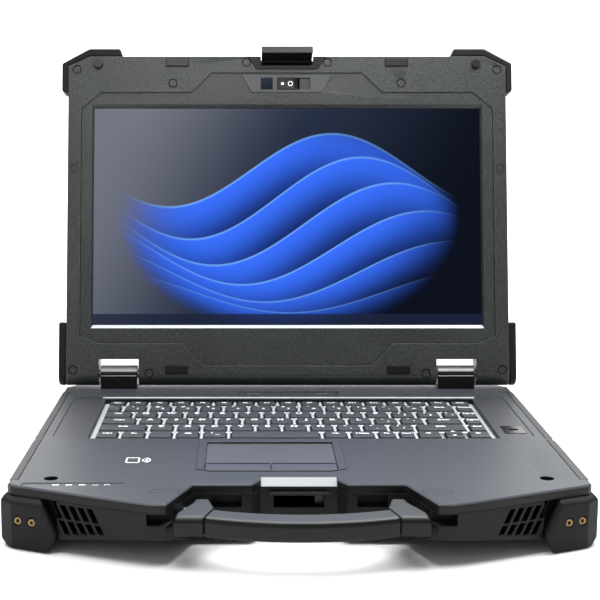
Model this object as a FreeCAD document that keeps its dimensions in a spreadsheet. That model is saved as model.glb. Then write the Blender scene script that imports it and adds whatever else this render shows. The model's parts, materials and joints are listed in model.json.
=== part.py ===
import FreeCAD, Part
import Sketcher
import os

# Driving sizes in millimetres and degrees. Depths in the base are measured forward from the lid's hinge axis.
SIZES = {
    # Base: heights, outline and cavity
    "deck_height": 38, "floor_clearance": 5, "top_case_drop": 6, "top_skin": 4, "wall": 2.5,
    "axis_back": 122.8, "axis_rise": 10.5, "lid_lean": 12.94, "deck_chamfer": 1.2, "deck_bevel": 5,
    "case_half_width": 176.5, "case_rear": 12, "rear_chamfer": 12, "front_corner_x": 174,
    "front_corner_y": 262, "front_corner_cut": 4, "elbow_x": 100, "elbow_y": 294, "shoulder_x": 87,
    "shoulder_y": 298.5, "recess_mouth_x": 78.4, "recess_x": 64.2, "recess_y": 260, "notch_x": 29,
    "notch_inner_x": 23.5, "notch_y": 250, "ramp_y": 265, "ramp_rise": 11, "mouth_rim": 5,
    "mouth_slot_x": 89.5, "mouth_slot_back": 288, "mouth_slot_low": 24.5, "mouth_slot_high": 31.5,
    "cavity_front": 247,
    # Side doors
    "door_depth": 5.5, "door_bottom": 9, "rear_door_back": 18, "rear_door_front": 156,
    "front_door_back": 160, "front_door_front": 251, "door_gap": 0.4, "door_pin_radius": 1,
    "door_pin_reach": 1.3, "pin_clearance": 0.05,
    # Bumpers of the base
    "bumper_out": 4.5, "bumper_inner_x": 144.5, "bumper_toe_x": 150.5, "bumper_shoulder_x": 154.5,
    "bumper_nose": 1, "bumper_seat": 6, "bumper_step": 10.5, "bumper_back": 252.5, "bumper_chamfer": 4,
    "bumper_screw_radius": 2.2, "bumper_screw_socket": 1.1, "bumper_screw_depth": 14,
    "bumper_screw_rise": 18, "bumper_screw_inner_x": 160, "bumper_screw_outer_x": 168.8,
    "rear_bumper_length": 26, "rear_bumper_tip": 3,
    # Keyboard: rows from the front edge of the bottom row, and where each row's first column starts
    "keyboard_half_width": 140.5, "keyboard_back": 42, "keyboard_front": 156, "plate_lip": 3,
    "plate_thickness": 1, "key_half_span": 137.5, "key_gap": 2.6, "key_depth": 15.9, "key_pitch": 18.6,
    "bottom_row_front": 153, "function_key_depth": 10.4, "function_row_front": 60.6,
    "key_cap_height": 2.2, "key_rise": 2, "key_taper": 0.9, "key_column": 18.7, "function_column": 16.2,
    "function_start": -122.3, "number_start": -124.3, "upper_start": -114.8, "home_start": -110.2,
    "lower_start": -101, "bottom_start": -119.4, "space_end": 19.8, "narrow_start": 71.7,
    "arrow_start": 84.6, "nav_start": 123, "key_stem": 4, "stem_clearance": 0.15, "stem_length": 4.5,
    # Keyboard trim, side panels and fingerprint reader
    "trim_half_width": 143, "trim_depth": 38.6, "trim_bar": 2.4, "trim_proud": 0.6,
    "panel_inner_x": 143.5, "panel_outer_x": 165, "panel_back": 34, "panel_front": 150, "panel_sink": 1,
    "panel_thickness": 0.7, "panel_slant": 10, "reader_left": 146.8, "reader_right": 161.4,
    "reader_back": 122.8, "reader_front": 142.4, "reader_sink": 1.6, "reader_bar": 4,
    "reader_groove": 0.5, "reader_proud": 0.3,
    # Touchpad and its buttons
    "pad_centre_x": -16.6, "pad_half_width": 41.9, "pad_back": 166.7, "pad_front": 215.4,
    "pad_sink": 0.8, "pad_thickness": 1.6, "frame_half_width": 47.5, "frame_back": 164,
    "frame_front": 234, "frame_ear": 5, "frame_proud": 0.5, "pad_button_front": 230.8,
    "pad_button_gap": 0.5,
    # Button strip behind the keyboard
    "strip_half_width": 39, "strip_back": 16.7, "strip_front": 29.6, "strip_sink": 1,
    "button_width": 11, "button_pitch": 13.5, "button_gap": 0.3, "button_travel": 0.6,
    "button_length": 4, "button_proud": 0.2,
    # Lid pegs with their sockets, and the status lens
    "peg_x": 151.5, "peg_along": 248.4, "peg_radius": 3.6, "peg_height": 3.4, "socket_clearance": 0.7,
    "socket_depth": 3.2, "lens_left": 167, "lens_right": 106, "lens_back": 257.5, "lens_front": 264,
    "lens_sink": 0.4,
    # Speakers and their grilles
    "slot_inner_x": 111.5, "slot_pitch": 5.6, "slot_width": 3.6, "slot_foot": 8, "slot_strip": 2.5,
    "slot_middle": 20.5, "slot_top": 30, "slot_bar": 1.2, "slot_slant": 0.49, "speaker_inner_x": 101,
    "speaker_outer_x": 139, "speaker_front": 264, "speaker_height": 20, "speaker_play": 0.3,
    # Handle
    "handle_pivot_y": 272, "handle_pivot_drop": 13, "handle_pin_radius": 2.5, "handle_knuckle": 6.2,
    "arm_outer_x": 75, "arm_root_x": 61, "arm_tip": 303, "arm_side_play": 1, "arm_shoulder": 10,
    "arm_flare": 6, "handle_top_drop": 6.5, "handle_bottom_drop": 18.5, "grip_bow": 11,
    "grip_depth": 18, "grip_half_width": 60, "grip_end_front": 302, "handle_chamfer": 2.5,
    "grip_chamfer": 2, "groove_front_x": 59.5, "groove_back_x": 47, "handle_pin_reach": 9,
    "handle_play": 0.3, "handle_cheek": 65.5,
    # Hinge knuckles
    "knuckle_left": 119.3, "knuckle_right": 148.3, "knuckle_radius": 7, "knuckle_front": 7.7,
    "hinge_pin_radius": 3, "knuckle_gap": 1.2, "hinge_pin_reach": 9,
    # Lid shells, measured up from the hinge axis
    "lid_half_width": 175.5, "lid_top": 254.8, "lid_thick_front": 9, "lid_thick_back": 9,
    "lid_split": 2, "lid_corner_x": 158, "lid_corner_drop": 8, "cutout_top": 11.7, "lid_wall": 3,
    "tray_drop": 5,
    # Outline of the screen surround
    "bezel_side": 165, "bezel_high": 212, "bezel_low": 30, "bezel_mid_x": 149.5,
    "bezel_mid_high": 225.6, "bezel_mid_low": 24, "bezel_in_high_x": 76.3, "bezel_in_low_x": 83.5,
    "bezel_peak_high_x": 60.4, "bezel_peak_low_x": 66.7, "bezel_peak_high": 241.5,
    "bezel_peak_low": 6.5, "bezel_sink": 0.9, "bezel_play": 0.2,
    # Screen and what lies behind it
    "screen_half_width": 154.7, "screen_low": 38.9, "screen_high": 212.9, "bevel_side": 1.6,
    "bevel_end": 3, "screen_face": 5.5, "glass_thickness": 1, "glass_border": 2.5, "panel_depth": 6.5,
    "backing_inset": 20,
    # Camera panel and shutter
    "camera_top_x": 36.5, "camera_bottom_x": 28.5, "camera_high": 240, "camera_low": 225.6,
    "camera_proud": 0.6, "window_left": -20.9, "window_right": -11.7, "shutter_left": -7.5,
    "shutter_right": 10.1, "shutter_low": 228, "shutter_high": 237.2, "shutter_travel": 8,
    "shutter_thickness": 1.2, "shutter_play": 0.15, "shutter_proud": 0.3, "ridge_start": 4,
    "ridge_pitch": 1.4, "ridge_width": 0.7, "ridge_end": 1,
    # Lid bumpers
    "lid_bumper_out": 5.3, "lid_bumper_rise": 6.5, "lid_bumper_low": 224.6, "lid_bumper_inner": 132,
    "lid_bumper_slant": 2, "lid_bumper_chamfer_x": 22, "lid_bumper_chamfer_v": 12,
    "side_bumper_high": 41, "side_bumper_out": 6,
    # Screw plugs and rest pads
    "plug_corner_x": 168.6, "plug_corner_high": 244, "plug_upper_x": 91.6, "plug_upper_high": 233,
    "plug_latch_x": 32.6, "plug_latch_high": 250, "plug_foot_x": 170, "plug_foot_high": 3.2,
    "plug_hinge_x": 109.6, "plug_hinge_high": 0.4, "plug_radius": 3.2, "plug_depth": 1.5,
    "plug_sink": 0.3, "rest_pad_x": 88, "rest_pad_high": 249.7, "rest_pad_low": 3.4,
    "rest_pad_width": 18, "rest_pad_depth": 6, "rest_pad_proud": 1.2,
    # Latch, its strike and the pockets behind the handle
    "latch_half_width": 20.4, "latch_recess_x": 24, "latch_recess_low": 246.2,
    "latch_pivot_along": 252.8, "latch_pivot_back": 1, "latch_pin_radius": 1.5, "latch_barrel": 3,
    "latch_plate": 2.6, "latch_reach": 23.4, "latch_lip": 3, "latch_lip_thick": 2.4,
    "latch_released": 10, "strike_drop": 7.5, "strike_thick": 1.6, "strike_reach": 3,
    "strike_half_width": 18, "window_low": 20, "window_high": 27.5, "pocket_inner_x": 35,
    "pocket_outer_x": 53.5, "pocket_depth": 7, "pocket_low": 23, "pocket_high": 31,
    # Main board and processor
    "board_half_width": 165, "board_back": 20, "board_front": 155, "board_rise": 13,
    "board_thickness": 1.6, "boss_radius": 3, "chip_size": 34, "chip_height": 2, "chip_x": -30,
    "chip_y": 85,
    # Fan, pipe and heat sink
    "fan_x": -120, "fan_y": 60, "fan_radius": 24, "fan_case": 56, "fan_height": 10, "fan_wall": 1.5,
    "fan_blades": 11, "fan_hub_radius": 8, "fan_shaft_radius": 1.5, "fan_play": 1,
    "blade_thickness": 1.2, "pipe_width": 8, "pipe_thickness": 3, "sink_depth": 18, "sink_width": 56,
    "sink_height": 10, "fin_thickness": 0.8, "fin_count": 14,
    # Plug-in cards, battery and drive
    "card_width": 68, "card_depth": 30, "card_thickness": 3.6, "card_x": 60, "card_y": 70,
    "card_gap": 8, "battery_left": 10, "battery_right": 160, "battery_back": 165, "battery_front": 243,
    "battery_height": 19, "drive_left": -160, "drive_right": -60, "drive_back": 168, "drive_front": 238,
    "drive_height": 9.5,
    # Ports and power inlet
    "port_width": 14.5, "port_height": 7, "port_length": 18, "port_shell": 0.8, "port_tongue": 2,
    "port_back": 45, "port_pitch": 24, "port_hole_play": 0.3, "inlet_radius": 3.2, "inlet_pin": 1,
    "inlet_x": 60, "inlet_size": 11, "inlet_floor": 2, "rear_port_near": 36, "rear_port_far": 64.8,
    # Screws of the underside
    "bottom_screw_radius": 2.6, "bottom_screw_depth": 1.6, "bottom_screw_x": 150,
    "bottom_screw_front": 225, "bottom_screw_back": 20,
}

# How far a cutting tool runs past a face, and how many slots, vents, ports and ridges there are
OVER = 1
GRILLE_SLOTS, VENT_SLOTS, SIDE_PORTS, RIDGES = 5, 7, 3, 3

# Half the height of a hexagon whose corners lie at a radius of 1
HEXAGON = 0.75 ** 0.5


class Length:
    """A size with its spreadsheet expression and its present value."""

    def __init__(self, text, value):
        self.text = text
        self.value = value

    def combine(self, other, sign, swap=False):
        other = length(other)
        first, second = (other, self) if swap else (self, other)
        value = {"+": first.value + second.value, "-": first.value - second.value,
                 "*": first.value * second.value, "/": first.value / (second.value or 1)}[sign]
        return Length(f"({first.text} {sign} {second.text})", value)

    def __add__(self, other):
        return self.combine(other, "+")

    def __radd__(self, other):
        return self.combine(other, "+", True)

    def __sub__(self, other):
        return self.combine(other, "-")

    def __rsub__(self, other):
        return self.combine(other, "-", True)

    def __mul__(self, other):
        return self.combine(other, "*")

    def __rmul__(self, other):
        return self.combine(other, "*", True)

    def __truediv__(self, other):
        return self.combine(other, "/")

    def __neg__(self):
        return Length(f"(-1 * {self.text})", -self.value)


def length(value):
    """Any number as a Length."""
    return value if isinstance(value, Length) else Length(repr(float(value)), float(value))


doc = FreeCAD.newDocument("laptop_computer")
sheet = doc.addObject("Spreadsheet::Sheet", "dims")
for row, (size_name, size_value) in enumerate(SIZES.items(), 1):
    sheet.set(f"A{row}", size_name)
    sheet.set(f"B{row}", str(size_value))
    sheet.setAlias(f"B{row}", size_name)
doc.recompute()


class Sizes:
    """The named sizes, each read as an attribute."""

    def __getattr__(self, name):
        return Length(f"dims.{name}", float(sheet.get(name)))


d = Sizes()
NODES = []


def bind(obj, **values):
    """Tie properties to the sheet, with __ standing for a dot in a property's path."""
    for name, value in values.items():
        obj.setExpression(name.replace("__", "."), length(value).text)
    return obj


def box(x, y, z):
    """A block between two places on each axis."""
    obj = doc.addObject("Part::Box", "block")
    bind(obj, Length=x[1] - length(x[0]), Width=y[1] - length(y[0]), Height=z[1] - length(z[0]))
    return bind(obj, Placement__Base__x=x[0], Placement__Base__y=y[0], Placement__Base__z=z[0])


TURNS = {"x": FreeCAD.Rotation(FreeCAD.Vector(0, 1, 0), 90),
         "y": FreeCAD.Rotation(FreeCAD.Vector(1, 0, 0), -90),
         "z": FreeCAD.Rotation()}


def rod(axis, at, radius, span):
    """A cylinder along an axis: at gives the two other places in axis order, span its start and end."""
    obj = doc.addObject("Part::Cylinder", "rod")
    obj.Placement = FreeCAD.Placement(FreeCAD.Vector(), TURNS[axis])
    bind(obj, Radius=radius, Height=span[1] - length(span[0]))
    places = {"x": (span[0], at[0], at[1]), "y": (at[0], span[0], at[1]), "z": (at[0], at[1], span[0])}[axis]
    return bind(obj, Placement__Base__x=places[0], Placement__Base__y=places[1], Placement__Base__z=places[2])


PLANES = {"z": FreeCAD.Rotation(), "y": FreeCAD.Rotation(FreeCAD.Vector(1, 0, 0), 90),
          "x": FreeCAD.Rotation(FreeCAD.Vector(1, 1, 1), 120)}


def prism(axis, points, span):
    """A straight-sided outline, each corner tied to the sheet, carried along an axis."""
    sketch = doc.addObject("Sketcher::SketchObject", "outline")
    corners = [(length(a), length(b)) for a, b in points]
    count = len(corners)
    for i in range(count):
        here, there = corners[i], corners[(i + 1) % count]
        sketch.addGeometry(Part.LineSegment(FreeCAD.Vector(here[0].value, here[1].value, 0),
                                            FreeCAD.Vector(there[0].value, there[1].value, 0)))
    for i in range(count):
        sketch.addConstraint(Sketcher.Constraint("Coincident", i, 2, (i + 1) % count, 1))
    for i in range(count):
        for kind, place in zip(("DistanceX", "DistanceY"), corners[i]):
            index = sketch.addConstraint(Sketcher.Constraint(kind, -1, 1, i, 1, place.value))
            sketch.setExpression(f"Constraints[{index}]", place.text)
    sketch.Placement = FreeCAD.Placement(FreeCAD.Vector(), PLANES[axis])
    bind(sketch, **{f"Placement__Base__{axis}": span[1] if axis == "y" else span[0]})
    solid = doc.addObject("Part::Extrusion", "prism")
    solid.Base = sketch
    solid.DirMode = "Normal"
    solid.Solid = True
    return bind(solid, LengthFwd=span[1] - length(span[0]))


def frustum(low, high, z):
    """A block whose lower and upper rectangles differ: each is (x0, x1, y0, y1)."""
    obj = doc.addObject("Part::Wedge", "frustum")
    obj.Placement = FreeCAD.Placement(FreeCAD.Vector(), FreeCAD.Rotation(FreeCAD.Vector(1, 0, 0), 90))
    return bind(obj, Xmin=low[0], Xmax=low[1], X2min=high[0], X2max=high[1], Zmin=-length(low[3]),
                Zmax=-length(low[2]), Z2min=-length(high[3]), Z2max=-length(high[2]), Ymin=z[0], Ymax=z[1])


def fuse(*shapes):
    """Several solids made one."""
    obj = doc.addObject("Part::MultiFuse", "fused")
    obj.Shapes = list(shapes)
    obj.Refine = True
    return obj


def cut(base, *tools):
    """A solid with others taken out of it."""
    obj = doc.addObject("Part::Cut", "cut")
    obj.Base = base
    obj.Tool = tools[0] if len(tools) == 1 else fuse(*tools)
    return obj


def common(first, second):
    """What two solids share."""
    obj = doc.addObject("Part::Common", "common")
    obj.Base = first
    obj.Tool = second
    return obj


def group(*shapes):
    """Separate solids kept together in one piece's file."""
    obj = doc.addObject("Part::Compound", "group")
    obj.Links = list(shapes)
    return obj


def mirrored(shape):
    """The same solid on the other side of the centre plane."""
    obj = doc.addObject("Part::Mirroring", "mirrored")
    obj.Source = shape
    obj.Normal = FreeCAD.Vector(1, 0, 0)
    return obj


def chamfer(shape, size, wanted):
    """Break the edges for which wanted(edge) holds."""
    doc.recompute()
    obj = doc.addObject("Part::Chamfer", "chamfered")
    obj.Base = shape
    obj.Edges = [(i, length(size).value, length(size).value)
                 for i, edge in enumerate(shape.Shape.Edges, 1) if wanted(edge)]
    return obj


def on_level(level):
    """A test for edges that lie at one height."""
    height = length(level).value

    def test(edge):
        return abs(edge.BoundBox.ZMin - height) < 0.001 and abs(edge.BoundBox.ZMax - height) < 0.001
    return test


def node(label, shape):
    """Name a finished piece of the base."""
    shape.Label = label
    NODES.append(shape)
    return shape


def lid_node(label, shape):
    """Name a finished piece of the lid: it is drawn upright on its axis and leans back with the lid."""
    holder = group(shape) if shape.TypeId != "Part::Compound" else shape
    holder.Placement = FreeCAD.Placement(FreeCAD.Vector(), FreeCAD.Rotation(FreeCAD.Vector(1, 0, 0), 1))
    bind(holder, Placement__Base__y=d.axis_back, Placement__Base__z=axis_height,
         Placement__Rotation__Angle=-d.lid_lean)
    return node(label, holder)


def fore(distance):
    """A place so far in front of the lid's axis."""
    return d.axis_back - length(distance)


def both(shape):
    """A solid and its mirror image as one group."""
    return group(shape, mirrored(shape))


def both_sides(points):
    """A right-hand half outline, from the middle out, made whole."""
    return [(-length(x), y) for x, y in reversed(points)] + list(points)


axis_height = d.deck_height + d.axis_rise
split = d.deck_height - d.top_case_drop
skin_under = d.deck_height - d.top_skin
case_floor = d.floor_clearance + d.wall
far = 2 * d.case_half_width

# Outline of the base, right-hand half from the latch notch out to the rear corner
rear = d.axis_back + d.case_rear
front_half = [
    (d.notch_inner_x, fore(d.notch_y)), (d.notch_x, fore(d.recess_y)), (d.recess_x, fore(d.recess_y)),
    (d.recess_mouth_x, fore(d.shoulder_y)), (d.shoulder_x, fore(d.shoulder_y)), (d.elbow_x, fore(d.elbow_y)),
    (d.front_corner_x, fore(d.front_corner_y)),
    (d.case_half_width, fore(d.front_corner_y - d.front_corner_cut)),
    (d.case_half_width, rear - d.rear_chamfer), (d.case_half_width - d.rear_chamfer, rear),
]
edge_slope = (d.elbow_y - d.front_corner_y) / (d.front_corner_x - d.elbow_x)


def front_edge(x):
    """How far forward the slanted front edge lies at a place across the base."""
    return d.front_corner_y + (d.front_corner_x - x) * edge_slope


# Port doors: the recess, pin line and door share these places
door_inner = d.case_half_width - d.door_depth
door_radius = (d.door_depth - d.door_gap) / 2
door_axis_x = d.case_half_width - door_radius
door_axis_z = d.door_bottom + door_radius
DOOR_SPANS = {"rear": (d.rear_door_front, d.rear_door_back), "front": (d.front_door_front, d.front_door_back)}
cavity_half = door_inner - d.wall


def door_recess(span):
    """The pocket in the side of the case that a door closes, with its pin holes."""
    pocket = box((door_inner, far), (fore(span[0]), fore(span[1])), (d.door_bottom - d.door_gap, far))
    holes = door_pin(span, d.pin_clearance)
    return fuse(pocket, holes)


def door_pin(span, extra=0):
    """The pin along a door's lower edge, or its hole when extra is given."""
    reach = d.door_pin_reach + extra
    return rod("y", (door_axis_x, door_axis_z), d.door_pin_radius + extra,
               (fore(span[0]) - reach, fore(span[1]) + reach))


def port_door(span):
    """A door plate with a round lower edge that turns on its pin, and finger ribs near its top."""
    y = (fore(span[0]) + d.door_gap, fore(span[1]) - d.door_gap)
    plate = box((d.case_half_width - 2 * door_radius, d.case_half_width), y, (door_axis_z, d.deck_height))
    roll = rod("y", (door_axis_x, door_axis_z), door_radius, y)
    groove = box((d.case_half_width - d.deck_chamfer, far), (y[0] + d.door_depth, y[1] - d.door_depth),
                 (d.deck_height - 3 * d.door_depth, d.deck_height - 2 * d.door_depth))
    return cut(fuse(plate, roll), door_pin(span, d.pin_clearance), groove)


def on_both_sides(make):
    """Right-hand tools and their mirror images."""
    shape = make()
    return [shape, mirrored(shape)]


# Handle pivots: arms, pins and case holes share these places
pivot_y = fore(d.handle_pivot_y)
pivot_z = d.deck_height - d.handle_pivot_drop


def handle_pin(extra=0):
    """One pivot pin of the handle, or its hole when extra is given."""
    return rod("x", (pivot_y, pivot_z), d.handle_pin_radius + extra,
               (d.arm_root_x - d.handle_play - extra, d.handle_cheek + d.handle_pin_reach + extra))


# Bottom case: a tray with ramped front, door pockets, speaker grilles and vents
bumper_side = d.case_half_width - d.bumper_seat
bumper_outer = d.case_half_width + d.bumper_out
bumper_pocket = [
    (d.bumper_inner_x, fore(far)), (d.bumper_inner_x, fore(front_edge(d.bumper_inner_x) - d.bumper_seat)),
    (bumper_side, fore(front_edge(bumper_side) - d.bumper_seat)), (bumper_side, fore(d.bumper_back)),
    (far, fore(d.bumper_back)), (far, fore(far)),
]


def bumper_screw(x, extra=0):
    """A bumper's screw along the depth, from just inside the rubber's face."""
    face = fore(front_edge(x) + d.bumper_out)
    return rod("y", (x, d.bumper_screw_rise), d.bumper_screw_radius + extra,
               (face, face + d.bumper_screw_depth + extra))


def ramp_edge(x):
    """The height of the front face's lower edge, on the ramp, at a place across the base."""
    share = (front_edge(x) - d.ramp_y) / (d.shoulder_y - d.ramp_y)
    return d.floor_clearance + share * d.ramp_rise


def grille_slot(index, low, high):
    """One slanted slot of a speaker grille between two heights."""
    foot = d.slot_inner_x + index * d.slot_pitch
    near = foot + (low - d.slot_foot) * d.slot_slant
    away = foot + (high - d.slot_foot) * d.slot_slant
    return prism("y", [(near, low), (near + d.slot_width, low), (away + d.slot_width, high), (away, high)],
                 (fore(far), fore(d.speaker_front - OVER)))


def grille_column(index):
    """A grille's slot in two lengths, from a strip above the ramp to the top, parted by a bar."""
    low = ramp_edge(d.slot_inner_x + index * d.slot_pitch) + d.slot_strip
    return [grille_slot(index, low, d.slot_middle), grille_slot(index, d.slot_middle + d.slot_bar, d.slot_top)]


def speaker_bay(play):
    """The room behind a grille, or the speaker in it."""
    return box((d.speaker_inner_x + play, d.speaker_outer_x - play),
               (fore(d.speaker_front) + play, fore(d.cavity_front)),
               (case_floor, case_floor + d.speaker_height))


PORT_PLACES = [d.port_back + i * d.port_pitch for i in range(SIDE_PORTS)]
port_low = d.board_rise + d.board_thickness


def port_hole(place, play):
    """The opening in the side wall for one port."""
    return box((cavity_half - OVER, door_inner + OVER),
               (fore(place) - d.port_width / 2 - play, fore(place) + d.port_width / 2 + play),
               (port_low - play, port_low + d.port_height + play))


def bottom_case():
    """The lower half of the base with everything that is cut from it."""
    outer = prism("z", both_sides(front_half), (d.floor_clearance, split))
    ramp = prism("x", [(fore(d.ramp_y), d.floor_clearance),
                       (fore(d.shoulder_y), d.floor_clearance + d.ramp_rise),
                       (fore(far), d.floor_clearance + d.ramp_rise), (fore(far), -OVER),
                       (fore(d.ramp_y), -OVER)], (-far, far))
    cavity = box((-cavity_half, cavity_half), (fore(d.cavity_front), rear - d.wall), (case_floor, far))
    tools = [ramp, cavity]
    tools += on_both_sides(lambda: prism("z", bumper_pocket, (-OVER, split)))
    for span in DOOR_SPANS.values():
        tools += on_both_sides(lambda: door_recess(span))
    tools += on_both_sides(lambda: handle_pin(d.pin_clearance))
    for x in (d.bumper_screw_inner_x, d.bumper_screw_outer_x):
        tools += on_both_sides(lambda: bumper_screw(x, d.pin_clearance))
    tools += on_both_sides(lambda: speaker_bay(0))
    for index in range(GRILLE_SLOTS):
        for slot in grille_column(index):
            tools += [slot, mirrored(slot)]
    for place in PORT_PLACES:
        tools += on_both_sides(lambda: port_hole(place, d.port_hole_play))
    tools += [rear_port_hole(x, d.port_hole_play) for x in REAR_PORTS]
    tools += [inlet_body(d.port_hole_play)]
    tools += [sink_vent(index) for index in range(VENT_SLOTS)]
    tools += [bottom_screw(x, y, 0) for x, y in BOTTOM_SCREWS]
    tools += [strike_plate(d.pin_clearance), latch_window()]
    tools += on_both_sides(wall_pocket)
    tools += on_both_sides(mouth_slot)
    case = cut(outer, *tools)
    bosses = [rod("z", (x, y), d.boss_radius, (case_floor - OVER, d.board_rise)) for x, y in BOSSES]
    return fuse(case, *bosses)


# Places that several inner pieces share
boss_x = d.board_half_width - 2 * d.boss_radius
BOSSES = [(x, y) for x in (-boss_x, length(0), boss_x)
          for y in (fore(d.board_back + 2 * d.boss_radius), fore(d.board_front - 2 * d.boss_radius))]
screw_x = d.bottom_screw_x
BOTTOM_SCREWS = [(x, y) for x in (-screw_x, length(0), screw_x)
                 for y in (fore(d.bottom_screw_front), fore(d.bottom_screw_back - d.port_pitch))]
REAR_PORTS = [d.inlet_x - d.rear_port_near, d.inlet_x - d.rear_port_far]
fan_low = port_low


def bottom_screw(x, y, extra):
    """A countersunk screw disc in the underside."""
    return rod("z", (x, y), d.bottom_screw_radius + extra,
               (d.floor_clearance, d.floor_clearance + d.bottom_screw_depth))


def rear_port_hole(x, play):
    """A port opening in the rear wall."""
    return box((x - d.port_width / 2 - play, x + d.port_width / 2 + play),
               (rear - d.wall - OVER, rear + OVER),
               (port_low - play, port_low + d.port_height + play))


def inlet_body(play):
    """The outside of the power inlet, or the hole in the rear wall for it."""
    half = d.inlet_size / 2 + play
    return box((d.inlet_x - half, d.inlet_x + half), (rear - d.port_length, rear),
               (port_low - play, port_low + d.inlet_size + play))


def sink_vent(index):
    """One exhaust slot in the rear wall behind the fins."""
    step = d.sink_width / VENT_SLOTS
    x = d.fan_x - d.sink_width / 2 + (index + 0.25) * step
    return box((x, x + step / 2), (rear - d.wall - OVER, rear + OVER),
               (fan_low + OVER, fan_low + d.sink_height - OVER))


def strike_plate(play):
    """The steel ledge under the latch notch that the latch hooks behind."""
    top = d.deck_height - d.strike_drop
    return box((-d.strike_half_width - play, d.strike_half_width + play),
               (fore(d.notch_y + d.strike_reach), fore(d.cavity_front)),
               (top - d.strike_thick - play, top + play))


def latch_window():
    """The dark opening under the strike that the latch's hook swings in front of."""
    half = d.strike_half_width - d.wall
    return box((-half, half), (fore(d.notch_y + OVER), fore(d.cavity_front - OVER)),
               (d.window_low, d.window_high))


def wall_pocket():
    """A blind pocket in the wall behind the handle, beside the notch."""
    return box((d.pocket_inner_x, d.pocket_outer_x),
               (fore(d.recess_y + OVER), fore(d.recess_y - d.pocket_depth)),
               (d.pocket_low, d.pocket_high))


def mouth_slot():
    """The dark slot in the front face beside the handle's recess."""
    return box((d.recess_x, d.mouth_slot_x), (fore(far), fore(d.mouth_slot_back)),
               (d.mouth_slot_low, d.mouth_slot_high))


node("bottom_case", bottom_case())
node("latch_strike", strike_plate(0))


# Top case: the deck with its openings
def reader_place(extra, low, high):
    """The fingerprint reader's block, grown on every side by extra."""
    return box((d.reader_left - extra, d.reader_right + extra),
               (fore(d.reader_front) - extra, fore(d.reader_back) + extra), (low, high))


def side_panel_outline(play):
    """Outline of the sunk panel to the right of the keys, its front edge slanted."""
    return [(d.panel_inner_x + play, fore(d.panel_back) - play),
            (d.panel_outer_x - play, fore(d.panel_back) - play),
            (d.panel_outer_x - play, fore(d.panel_front) + play),
            (d.panel_inner_x + play, fore(d.panel_front + d.panel_slant) + play)]


def pad_frame_outline(play):
    """Outline of the touchpad's frame, with ears cut off its front corners."""
    left, right = d.pad_centre_x - d.frame_half_width - play, d.pad_centre_x + d.frame_half_width + play
    front, back = fore(d.frame_front) - play, fore(d.frame_back) + play
    ear = d.frame_ear
    return [(left, back), (left, front + ear), (left + 2 * ear, front), (right - 2 * ear, front),
            (right, front + ear), (right, back)]


BUTTON_PLACES = {"power_button": 2, "menu_button": -2}


def button_block(place, play, low, high):
    """A small push button, or its hole when play is given."""
    x = place * d.button_pitch
    half = d.button_width / 2 + play
    middle = (fore(d.strip_front) + fore(d.strip_back)) / 2
    return box((x - half, x + half), (middle - d.button_length / 2 - play,
                                      middle + d.button_length / 2 + play), (low, high))


def trim_bar(play):
    """The bright bar behind the keys."""
    return box((-d.trim_half_width - play, d.trim_half_width + play),
               (fore(d.trim_depth) - d.trim_bar / 2 - play, fore(d.trim_depth) + d.trim_bar / 2 + play),
               (d.deck_height - d.panel_sink, d.deck_height + d.trim_proud))


def lens(play):
    """The clear strip over the status lights, left of the front edge."""
    return box((-d.lens_left - play, -d.lens_right + play),
               (fore(d.lens_front) - play, fore(d.lens_back) + play),
               (d.deck_height - d.panel_sink, d.deck_height - d.lens_sink))


def top_case():
    """The deck plate with a rim below it and its openings."""
    outer = chamfer(prism("z", both_sides(front_half), (split, d.deck_height)), d.deck_chamfer,
                    on_level(d.deck_height))
    deck = d.deck_height
    under = box((-cavity_half, cavity_half), (fore(d.cavity_front), rear - d.wall),
                (split - OVER, skin_under))
    keys = box((-d.keyboard_half_width, d.keyboard_half_width),
               (fore(d.keyboard_front), fore(d.keyboard_back)), (split, far))
    tools = [under, keys, trim_bar(d.pin_clearance)]
    for span in DOOR_SPANS.values():
        tools += on_both_sides(lambda: door_recess(span))
    tools += on_both_sides(lambda: prism("z", side_panel_outline(length(0)), (deck - d.panel_sink, far)))
    tools.append(reader_place(d.pin_clearance, deck - d.panel_sink - d.reader_sink, far))
    tools.append(prism("z", pad_frame_outline(d.pin_clearance), (split, far)))
    strip = box((-d.strip_half_width, d.strip_half_width), (fore(d.strip_front), fore(d.strip_back)),
                (deck - d.strip_sink, far))
    tools.append(strip)
    tools += [button_block(place, d.button_gap, split, far) for place in BUTTON_PLACES.values()]
    tools += on_both_sides(lambda: rod("z", (d.peg_x, fore(d.peg_along)), d.peg_radius + d.socket_clearance,
                                       (deck - d.socket_depth, far)))
    lens_bed = box((-d.lens_left - d.pin_clearance, -d.lens_right + d.pin_clearance),
                   (fore(d.lens_front) - d.pin_clearance,
                    fore(d.lens_back) + d.pin_clearance), (deck - d.panel_sink, far))
    tools.append(lens_bed)
    bevel = prism("x", [(fore(d.notch_y - d.deck_bevel), deck), (fore(d.notch_y), deck - d.deck_bevel),
                        (fore(far), deck - d.deck_bevel), (fore(far), far),
                        (fore(d.notch_y - d.deck_bevel), far)], (-d.notch_inner_x, d.notch_inner_x))
    tools.append(bevel)
    return cut(outer, *tools)


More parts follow.
